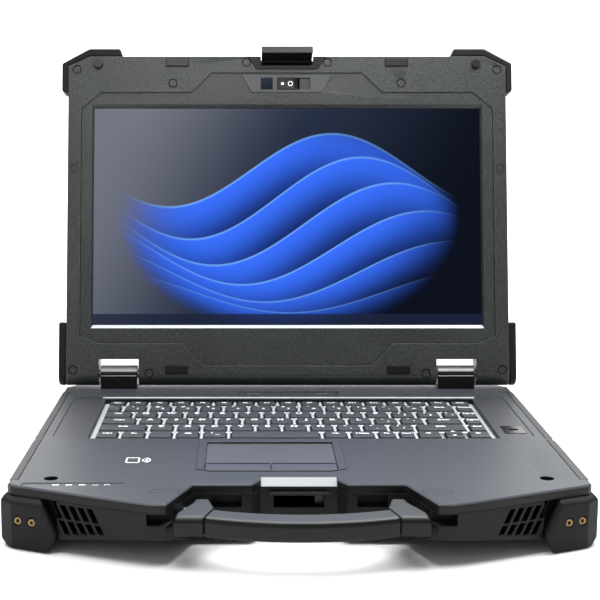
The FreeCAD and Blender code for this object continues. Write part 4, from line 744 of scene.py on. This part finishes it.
LEGENDS = {
    "function_keys": ["Esc"] + [f"F{i}" for i in range(1, 13)] + ["Ins", "Del", "Prt", "Brk"],
    "number_keys": ["` ~", *map(" ".join, zip("1234567890-=", "!@#$%^&*()_+")), "Back", "Home"],
    "upper_letter_keys": ["Tab"] + list("QWERTYUIOP") + ["[ {", "] }", "\\ |", "PgUp"],
    "home_row_keys": ["Caps"] + list("ASDFGHJKL") + ["; :", "' \"", "Enter", "PgDn"],
    "lower_letter_keys": ["Shift"] + list("ZXCVBNM") + [", <", ". >", "/ ?", "Shift", "End"],
    "bottom_row_keys": ["Ctrl", "Fn", "", "Alt", "~ |", "Alt", "Menu", "Fn", "Ctrl", "<", "v", "^", ">"],
    "space_bar": [""],
}
STROKE_SHARE = 0.045


def word_points(word, height):
    """A word as flat points and faces about its own middle."""
    curve = bpy.data.curves.new("legend", "FONT")
    curve.body = word
    curve.size = height
    curve.resolution_u = 2
    curve.offset = height * STROKE_SHARE
    curve.align_x = "CENTER"
    curve.align_y = "CENTER"
    holder = bpy.data.objects.new("legend", curve)
    bpy.context.scene.collection.objects.link(holder)
    mesh = bpy.data.meshes.new_from_object(holder.evaluated_get(bpy.context.evaluated_depsgraph_get()))
    points, faces = points_of(mesh), [tuple(face.vertices) for face in mesh.polygons]
    bpy.data.objects.remove(holder)
    bpy.data.curves.remove(curve)
    bpy.data.meshes.remove(mesh)
    return points, faces


# Places of a key's legends from the cap's middle, in millimetres, and their limits as shares of its depth
SYMBOL_PLACE, DIGIT_PLACE, DIGIT_SCALE = (-2.2, 3.1), (1.6, -2.4), 1.15
LETTER_SHIFT, LETTER_UP, WORD_UP, FUNCTION_UP = -0.6, 1.9, 1.6, 0.4
LETTER_SHARE, WORD_SHARE = 0.15, 0.12


def legend_layout(row, legend, size, lengths):
    """Words of one key, each with its place from the cap's middle and its height."""
    if not legend:
        return []
    if row == "function_keys":
        return [(legend, 0, FUNCTION_UP * MM, lengths.word_height)]
    if " " in legend:
        digit, symbol = legend.split(" ")
        return [(symbol, SYMBOL_PLACE[0] * MM, SYMBOL_PLACE[1] * MM, lengths.word_height),
                (digit, DIGIT_PLACE[0] * MM, DIGIT_PLACE[1] * MM, lengths.word_height * DIGIT_SCALE)]
    if len(legend) == 1:
        up = min(LETTER_UP * MM, size[1] * LETTER_SHARE)
        return [(legend, LETTER_SHIFT * MM, up, lengths.letter_height)]
    return [(legend, 0, min(WORD_UP * MM, size[1] * WORD_SHARE), lengths.word_height)]


def web_bar(low, high, cut):
    """A straight bar with cut upper edges: a six-cornered cross-section carried along the longer side."""
    across, along = (1, 0) if high[0] - low[0] > high[1] - low[1] else (0, 1)
    near, far = low[across], high[across]
    bar = np.empty((2, 6, 3))
    bar[:, :, across] = [near, near, near + cut, far - cut, far, far]
    bar[:, :, along] = [[low[along]], [high[along]]]
    bar[:, :, 2] = [low[2], high[2] - cut, high[2], high[2], high[2] - cut, low[2]]
    return bar.reshape(-1, 3), grid_faces(2, 6, closed=True) + [list(range(5, -1, -1)), list(range(6, 12))]


TALL_SHARE = 0.6


class LAPTOP_OT_lattice(bpy.types.Operator):
    """Build the bright web that fills the gaps between the keys"""
    bl_idname = "laptop.lattice"
    bl_label = "Key lattice"

    def execute(self, context):
        lengths = sizes()
        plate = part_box("keyboard_plate")[1][2]
        top, inset = plate + lengths.web_height, lengths.web_play
        rows = [islands(row) for row in KEY_ROWS if row != "space_bar"]
        rows[-1] = sorted(rows[-1] + islands("space_bar"), key=lambda box: box[0][0])
        ends = [(min(box[0][1] for box in row), max(box[1][1] for box in row)) for row in rows]
        gap = ends[1][0] - ends[2][1]
        boxes = []
        for row, (front, back) in zip(rows, ends):
            tall = [box for box in row if box[1][1] - box[0][1] > TALL_SHARE * (back - front)]
            for first, second in zip(tall, tall[1:]):
                left, right = first[1][0], second[0][0]
                if right - left < 2 * gap:
                    boxes.append((np.array([left + inset, front - gap / 2, plate]),
                                  np.array([right - inset, back + gap / 2, top])))
        left = min(box[0][0] for box in rows[0])
        right = max(box[1][0] for box in rows[0])
        for (front, _), (_, back) in zip(ends, ends[1:]):
            boxes.append((np.array([left, back + inset, plate]), np.array([right, front - inset, top])))
        points, faces = joined([web_bar(low, high, lengths.trim_edge) for low, high in boxes])
        mesh = outward(solid("key_web", points, faces, smooth=False))
        put("key_web", mesh, "base", finishes()["keyboard_plate"])
        return {"FINISHED"}


class LAPTOP_OT_keys(bpy.types.Operator):
    """Build the dished key caps and their printed legends, row by row"""
    bl_idname = "laptop.keys"
    bl_label = "Keys"

    def execute(self, context):
        lengths = sizes()
        plastic = finishes()["space_bar"]
        for row in KEY_ROWS:
            boxes = islands(row)
            if len(boxes) != len(LEGENDS[row]):
                raise RuntimeError(f"{row} has {len(boxes)} keys and {len(LEGENDS[row])} legends")
            caps, marks = [], []
            for (low, high), legend in zip(boxes, LEGENDS[row]):
                caps.append(key_cap(low, high, lengths.key_corner, lengths.key_dish))
                middle = (low + high) / 2
                for word, shift_x, shift_y, height in legend_layout(row, legend, high - low, lengths):
                    flat, faces = word_points(word, height)
                    place = [middle[0] + shift_x, middle[1] + shift_y, high[2] + lengths.mark_lift]
                    marks.append((flat + place, faces))
            mesh = solid(row + "_caps", *joined(caps))
            mesh.set_sharp_from_angle(angle=math.radians(CAP_CREASE))
            piece = put(row + "_caps", mesh, row, plastic)
            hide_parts(row)
            if marks:
                mesh = solid(row + "_legends", *joined(marks), smooth=False)
                put(row + "_legends", mesh, row, ink())
        return {"FINISHED"}


def ribbon(path, width, closed):
    """A flat strip of even width: each point of a path moved to either side along the path's normal."""
    path = np.asarray(path, float)
    if closed:
        ahead = np.roll(path, -1, 0) - np.roll(path, 1, 0)
    else:
        ahead = np.gradient(path, axis=0)
    side = np.column_stack([-ahead[:, 1], ahead[:, 0]])
    side /= np.linalg.norm(side, axis=1)[:, None]
    points = np.concatenate([path + side * width / 2, path - side * width / 2])
    return points, grid_faces(2, len(path), closed)


def arc(centre, radius, start, end, steps=12):
    """Points on an arc."""
    angle = np.radians(np.linspace(start, end, steps))
    return np.column_stack([centre[0] + radius * np.cos(angle), centre[1] + radius * np.sin(angle)])


def outline_at(centre, half, radius):
    """A rounded rectangle about a centre."""
    return rounded_outline(*half, radius) + np.asarray(centre)


def flat_marks(name, strips, body, material, place):
    """Flat strips joined in one piece: strips are (path, width, closed), and place lifts them to 3-D."""
    flat, faces = joined([ribbon(*strip) for strip in strips])
    return put(name, outward(solid(name, place(flat), faces, smooth=False)), body, material)


def on_deck(height):
    """Lift plan points, given as X and distance in front of the lid's axis in mm, to a height on the deck."""
    def place(flat):
        return np.column_stack([flat[:, 0] * MM, AXIS_Y - flat[:, 1] * MM, np.full(len(flat), height)])
    return place


def on_lid(front):
    """Lift points, given as X and distance up the lid in mm, to a distance in front of the lid's middle."""
    def place(flat):
        up = flat[:, 1] * MM
        return np.column_stack([flat[:, 0] * MM, AXIS_Y - front * math.cos(LEAN) + up * math.sin(LEAN),
                                AXIS_Z + front * math.sin(LEAN) + up * math.cos(LEAN)])
    return place


# Places across and up the lid in millimetres, and depths in front of its middle in metres
LID_FRONT = 0.009
RIM_OUTER = ((-31.5, 254.6), (-24.6, 244.3), (24.6, 244.3), (31.5, 254.6))
RIM_INNER = ((-20.9, 254.6), (-20.9, 247.4), (20.9, 247.4), (20.9, 254.6))
RIM_DEPTH, RIM_PROUD = 0.0012, 0.0009


class LAPTOP_OT_latch_rim(bpy.types.Operator):
    """Build the dark rim round the latch's bay"""
    bl_idname = "laptop.latch_rim"
    bl_label = "Latch rim"

    def execute(self, context):
        inner, outer = np.array(RIM_INNER), np.array(RIM_OUTER)
        ring = np.stack([inner, inner, outer, outer], 1).reshape(-1, 2)
        rim = finish("latch_rim_plastic", tint(5, 5, 5), other=1.3, grain=1800, worn_and_lit=6, wear=0.25, patches=30,
                     shine=0.2)
        low, high = LID_FRONT - RIM_DEPTH, LID_FRONT + RIM_PROUD
        front = np.tile([low, high, high, low], len(outer))
        end = len(ring) - 4
        faces = grid_faces(len(outer), 4, closed=True) + [[3, 2, 1, 0], [end, end + 1, end + 2, end + 3]]
        mesh = outward(solid("latch_rim", on_lid(front)(ring), faces, smooth=False))
        round_edges(put("latch_rim", mesh, "lid", rim), sizes().trim_edge)
        return {"FINISHED"}


# The window's lower edge and the notch's facet: places in millimetres, faces of the lid in metres, and rows
# and columns of points
SCREEN_SIDE, SCREEN_LOW, WINDOW_FALL, WINDOW_FLARE = 154.7, 38.9, 3.0, 1.6
SCREEN_FACE, SURROUND_FACE = 0.0055, 0.0081
WINDOW_ROWS, WINDOW_COLUMNS = np.linspace(0.08, 0.92, 5), np.linspace(-1, 1, 41)
FACET_BACK, FACET_FALL, FACET_SIDE = 245, 5, 23.2
FACET_ROWS, FACET_COLUMNS = np.linspace(0.06, 0.94, 7), np.linspace(-FACET_SIDE, FACET_SIDE, 25)


def window_edge(lift):
    """The slope under the screen, as points and faces: rows that fall and come forward from the glass to the
    surround, a little wider each time."""
    across = np.outer(SCREEN_SIDE + WINDOW_FLARE * WINDOW_ROWS, WINDOW_COLUMNS).ravel()
    share = np.repeat(WINDOW_ROWS, len(WINDOW_COLUMNS))
    front = SCREEN_FACE + (SURROUND_FACE - SCREEN_FACE) * share + lift
    points = on_lid(front)(np.column_stack([across, SCREEN_LOW - WINDOW_FALL * share]))
    return points, grid_faces(len(WINDOW_ROWS), len(WINDOW_COLUMNS))


def notch_facet(lift):
    """The facet at the back of the notch, as points and faces: rows that fall as far as they come forward."""
    share, across = np.meshgrid(FACET_ROWS, FACET_COLUMNS * MM, indexing="ij")
    lift = lift / math.sqrt(2)
    points = np.stack([across, AXIS_Y - (FACET_BACK + FACET_FALL * share) * MM - lift,
                       DECK - FACET_FALL * MM * share + lift], -1)
    return points.reshape(-1, 3), grid_faces(len(FACET_ROWS), len(FACET_COLUMNS))


class LAPTOP_OT_bevel(bpy.types.Operator):
    """Build the lower edge of the screen's window and the facet of the front notch, painted bright as painted
    reflections of the light from above
    """
    bl_idname = "laptop.bevel"
    bl_label = "Bright edges"

    def execute(self, context):
        plain = dict(rough=0.3, spread=0.08, relief=0.04, worn_and_lit=1, wear=0, reach=0.0008, brushed=True)
        # Painted reflections: near white on the window's lower edge and pale grey on the notch's facet,
        # standing for the light that these slopes catch from above.
        bright = finish("window_edge_highlight", tint(196, 200, 204), other=0.9, metal=0.3, **plain)
        pale = finish("notch_facet_highlight", tint(150, 154, 156), other=0.94, **plain)
        lift = sizes().mark_lift
        for name, shape, body, paint, slot in (("window_edge", window_edge(lift), "lid", bright, "surround"),
                                               ("notch_facet", notch_facet(lift), "base", pale, "deck")):
            mesh = solid(name, *shape)
            mesh.flip_normals()
            put(name, mesh, body, paint)
        return {"FINISHED"}


# Printed marks and seams: middles, half sizes, radii and line widths in millimetres, turns in degrees
BOTH_SIDES = (-1, 1)
CARD_MIDDLE, CARD_HALF, CARD_CORNER, CARD_LINE = (-105, 209), (4.0, 5.4), 1.2, 1.0
WAVE_MIDDLE, WAVE_RADII, WAVE_TURN, WAVE_LINE = (-100.5, 209), (2.4, 4.6, 6.6), 52, 0.9
STATUS_PLACES, STATUS_FORWARD = (-147, -139, -131), 260.6
STATUS_HALF, STATUS_CORNER, STATUS_LINE = (1.7, 0.8), 0.5, 0.6
STATUS_ARCS = (((-123, 259.6), 1.7, 20, 160), ((-116, 261.2), 1.5, 180, 360))
PLUG_PLACES = ((168.6, 244), (91.6, 233), (32.6, 250), (170, 3.2), (109.6, 0.4))
PLUG_RADIUS, PLUG_TURN, PLUG_POINTS, PLUG_LINE = 3.3, 345, 24, 0.8
SQUARE_PLACE, SQUARE_HALF, SQUARE_CORNER, SQUARE_LINE = (170.3, 164), (2.3, 2.9), 0.4, 0.5
TAB_PLACE, TAB_HALF, TAB_CORNER, TAB_LINE = (80.5, 274.5), (8.4, 3.4), 0.8, 0.4
BUTTON_EDGE, BUTTON_INSET, BUTTON_POINTS, BUTTON_LINE = 1.2, 0.3, 5, 2.2


def mirrored(place, side):
    """A place carried to one side."""
    return side * place[0], place[1]


class LAPTOP_OT_marks(bpy.types.Operator):
    """Print the palm rest's icons and draw the fine seams of the deck, touchpad and lid"""
    bl_idname = "laptop.marks"
    bl_label = "Printed marks"

    def execute(self, context):
        lift, dark = sizes().mark_lift, seam_shadow()
        card = [(outline_at(CARD_MIDDLE, CARD_HALF, CARD_CORNER), CARD_LINE, True)]
        card += [(arc(WAVE_MIDDLE, radius, -WAVE_TURN, WAVE_TURN), WAVE_LINE, False) for radius in WAVE_RADII]
        flat_marks("card_reader_mark", card, "base", ink(), on_deck(DECK + lift))
        plugs = [mirrored(place, side) for side in BOTH_SIDES for place in PLUG_PLACES]
        seams = [(arc(plug, PLUG_RADIUS, 0, PLUG_TURN, PLUG_POINTS), PLUG_LINE, True) for plug in plugs]
        seams += [(outline_at(mirrored(SQUARE_PLACE, side), SQUARE_HALF, SQUARE_CORNER), SQUARE_LINE, True)
                  for side in BOTH_SIDES]
        flat_marks("plug_seams", seams, "lid", dark, on_lid(LID_FRONT + 2 * lift))
        tabs = [(outline_at(mirrored(TAB_PLACE, side), TAB_HALF, TAB_CORNER), TAB_LINE, True)
                for side in BOTH_SIDES]
        flat_marks("palm_rest_tabs", tabs, "base", dark, on_deck(DECK + lift))
        for button in TOUCHPAD_BUTTONS:
            low, high = np.array(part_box(button)) / MM
            across = np.linspace(low[0] + BUTTON_INSET, high[0] - BUTTON_INSET, BUTTON_POINTS)
            edge = np.column_stack([across, np.full_like(across, AXIS_Y / MM - high[1] + BUTTON_EDGE)])
            flat_marks(button + "_edge", [(edge, BUTTON_LINE, False)], body_of(button), dark,
                       on_deck(high[2] * MM + lift))
        icons = [(outline_at((x, STATUS_FORWARD), STATUS_HALF, STATUS_CORNER), STATUS_LINE, True)
                 for x in STATUS_PLACES]
        icons += [(arc(*shape), STATUS_LINE, False) for shape in STATUS_ARCS]
        flat_marks("status_marks", icons, "base", ink(), on_deck(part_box("status_lens")[1][2] + lift))
        return {"FINISHED"}


# The bumper screws' rings: the slope of the front edge, and a profile of radius and height in millimetres
FRONT_SLOPE = 32 / 74
RING_PROFILE = ((1.15, -0.6), (1.15, 0.1), (1.35, 0.3), (2.15, 0.3), (2.4, 0.05), (2.4, -0.6))
RING_STEPS = 28


def washer(centre, normal):
    """A turned ring: a profile of radius and height carried once round an axis."""
    profile = np.asarray(RING_PROFILE) * MM
    angle = np.linspace(0, 2 * math.pi, RING_STEPS, endpoint=False)
    axis = np.asarray(normal) / np.linalg.norm(normal)
    across = np.cross(axis, [0, 0, 1])
    across /= np.linalg.norm(across)
    other = np.cross(axis, across)
    circle = np.cos(angle)[:, None] * across + np.sin(angle)[:, None] * other
    points = np.asarray(centre) + profile[:, None, :1] * circle[None] + profile[:, None, 1:] * axis
    return points.reshape(-1, 3), grid_faces(len(profile), RING_STEPS, closed=True)


class LAPTOP_OT_fasteners(bpy.types.Operator):
    """Build the brass rings of the bumper screws, square to the slanted rubber"""
    bl_idname = "laptop.fasteners"
    bl_label = "Bumper screws"

    def execute(self, context):
        rings = []
        for side in BOTH_SIDES:
            for low, high in [box for box in islands("bumper_screws") if (box[0][0] + box[1][0]) * side > 0]:
                centre = (low + high) / 2
                rings.append(washer((centre[0], low[1], centre[2]), (side * FRONT_SLOPE, -1, 0)))
        mesh = solid("bumper_screw_rings", *joined(rings))
        mesh.set_sharp_from_angle(angle=math.radians(RING_CREASE))
        put("bumper_screw_rings", outward(mesh), "base", finishes()["bumper_screws"])
        return {"FINISHED"}


# The camera shutter's marks, a dot and a ring: millimetres across and up the lid, and degrees of turn
SHUTTER_UP, DOT_ACROSS, DOT_RADIUS, DOT_TURN, DOT_LINE = 232.6, -3.6, 0.6, 330, 1.2
EYE_ACROSS, EYE_RADIUS, EYE_TURN, EYE_POINTS, EYE_LINE = 2.7, 1.7, 345, 20, 0.6


class LAPTOP_OT_camera(bpy.types.Operator):
    """Print the camera shutter's marks"""
    bl_idname = "laptop.camera"
    bl_label = "Camera details"

    def execute(self, context):
        points = points_of(frame["nodes"]["camera_shutter"].data) - [0, AXIS_Y, AXIS_Z]
        front = (points[:, 2] * math.sin(LEAN) - points[:, 1] * math.cos(LEAN)).max() + sizes().mark_lift
        marks = [(arc((DOT_ACROSS, SHUTTER_UP), DOT_RADIUS, 0, DOT_TURN), DOT_LINE, True),
                 (arc((EYE_ACROSS, SHUTTER_UP), EYE_RADIUS, 0, EYE_TURN, EYE_POINTS), EYE_LINE, True)]
        flat_marks("shutter_marks", marks, "camera_shutter", ink(), on_lid(front))
        return {"FINISHED"}


# The stage: a floor that sweeps up behind, four lamps and the camera fitted to the photograph, in metres
FLOOR_SIDE, FLOOR_DROP, FLOOR_FRONT = 8, 0.0005, (-6, -2, 0)
SWEEP_START, SWEEP_RADIUS, SWEEP_TOP = 1.4, 2.0, 6.0
SWEEP_STEPS, FLOOR_COLUMNS = 17, 9
WORLD_STRENGTH = 0.35
LAMPS = {
    "key_light": dict(place=(0.1, -0.15, 0.6), aim=(0, -0.02, 0.1), size=(0.9, 0.25), power=5),
    "top_light": dict(place=(0, 0.1, 1.7), aim=(0, 0, 0.05), size=(2.0, 1.4), power=20),
    "front_light": dict(place=(-0.9, -1.5, 0.9), aim=(0, 0, 0.1), size=(1.0, 1.0), power=2),
    "backdrop_light": dict(place=(0, 2.0, 2.6), aim=(0, 2.3, 0), size=(5.0, 2.2), power=190),
}
CAMERA_PLACE, CAMERA_FALL = (-0.03058, -0.89333, 0.27242), 9.18
CAMERA_LENS, CAMERA_SENSOR, CAMERA_SHIFT = 78.1, 36, 0.0851


def on_stage(name, data):
    """An object of the stage."""
    holder = bpy.data.objects.new(name, data)
    bpy.context.scene.collection.objects.link(holder)
    return holder


def area_light(name, place, aim, size, power):
    """A soft square lamp turned to a point."""
    lamp = bpy.data.lights.new(name, "AREA")
    lamp.shape = "RECTANGLE"
    lamp.size, lamp.size_y = size
    lamp.energy = power
    holder = on_stage(name, lamp)
    holder.location = place
    x, y, z = np.array(place) - np.array(aim)
    holder.rotation_euler = (math.atan2(math.hypot(x, y), z), 0, math.atan2(x, -y))


def floor_sweep():
    """The floor: level in front, a quarter circle behind and then upright, as points and faces."""
    turn = np.linspace(0, 0.5 * math.pi, SWEEP_STEPS)
    depth = [*FLOOR_FRONT, *(SWEEP_START + SWEEP_RADIUS * np.sin(turn)), SWEEP_START + SWEEP_RADIUS]
    rise = [*np.zeros(len(FLOOR_FRONT)), *(SWEEP_RADIUS * (1 - np.cos(turn))), SWEEP_TOP]
    x, y = np.meshgrid(np.linspace(-FLOOR_SIDE, FLOOR_SIDE, FLOOR_COLUMNS), depth)
    points = np.column_stack([x.ravel(), y.ravel(), np.repeat(rise, x.shape[1]) - FLOOR_DROP])
    return points, grid_faces(*x.shape)


class LAPTOP_OT_stage(bpy.types.Operator):
    """Set the floor, the soft lights and the camera"""
    bl_idname = "laptop.stage"
    bl_label = "Stage"

    def execute(self, context):
        scene = context.scene
        mesh = solid("floor", *floor_sweep())
        mesh.materials.append(finish("pale_floor", tint(250, 250, 250), other=0.99, rough=0.7, spread=0.05,
                                     grain=60, relief=0.01, worn_and_lit=1.0, wear=0.0, reach=0.0008))
        on_stage("floor", mesh)
        scene.world = scene.world or bpy.data.worlds.new("studio")
        scene.world.use_nodes = True
        sky = scene.world.node_tree.nodes["Background"].inputs
        sky["Color"].default_value = (1, 1, 1, 1)
        sky["Strength"].default_value = WORLD_STRENGTH
        for name, lamp in LAMPS.items():
            area_light(name, **lamp)
        camera = bpy.data.cameras.new("photo_camera")
        camera.lens = CAMERA_LENS
        camera.sensor_width = CAMERA_SENSOR
        camera.shift_x = CAMERA_SHIFT
        scene.camera = on_stage("photo_camera", camera)
        scene.camera.location = CAMERA_PLACE
        scene.camera.rotation_euler = (math.radians(90 - CAMERA_FALL), 0, 0)
        scene.view_settings.view_transform = "Standard"
        return {"FINISHED"}


class LAPTOP_PT_panel(bpy.types.Panel):
    """The laptop's pieces and settings"""
    bl_label = "Laptop"
    bl_space_type = "VIEW_3D"
    bl_region_type = "UI"
    bl_category = "Laptop"

    def draw(self, context):
        for settings in (context.scene.laptop_sizes, context.scene.laptop_colours):
            for name in settings.__annotations__:
                self.layout.prop(settings, name)
        for operator in OPERATORS:
            self.layout.operator(operator.bl_idname)


OPERATORS = (LAPTOP_OT_finishes, LAPTOP_OT_shells, LAPTOP_OT_lattice, LAPTOP_OT_keys, LAPTOP_OT_bevel,
             LAPTOP_OT_marks, LAPTOP_OT_fasteners, LAPTOP_OT_camera, LAPTOP_OT_latch_rim, LAPTOP_OT_stage)
CLASSES = (LaptopSizes, LaptopColours, *OPERATORS, LAPTOP_PT_panel)


def register():
    """Make the settings, operators and panel known."""
    for item in CLASSES:
        bpy.utils.register_class(item)
    bpy.types.Scene.laptop_sizes = PointerProperty(type=LaptopSizes)
    bpy.types.Scene.laptop_colours = PointerProperty(type=LaptopColours)


def unregister():
    """Take them away again."""
    del bpy.types.Scene.laptop_colours
    del bpy.types.Scene.laptop_sizes
    for item in reversed(CLASSES):
        bpy.utils.unregister_class(item)


def main():
    """Build every piece in order."""
    register()
    bpy.ops.laptop.finishes()
    bpy.ops.laptop.shells()
    bpy.ops.laptop.lattice()
    bpy.ops.laptop.keys()
    bpy.ops.laptop.bevel()
    bpy.ops.laptop.marks()
    bpy.ops.laptop.fasteners()
    bpy.ops.laptop.camera()
    bpy.ops.laptop.latch_rim()
    bpy.ops.laptop.stage()


if __name__ == "__main__":
    main()
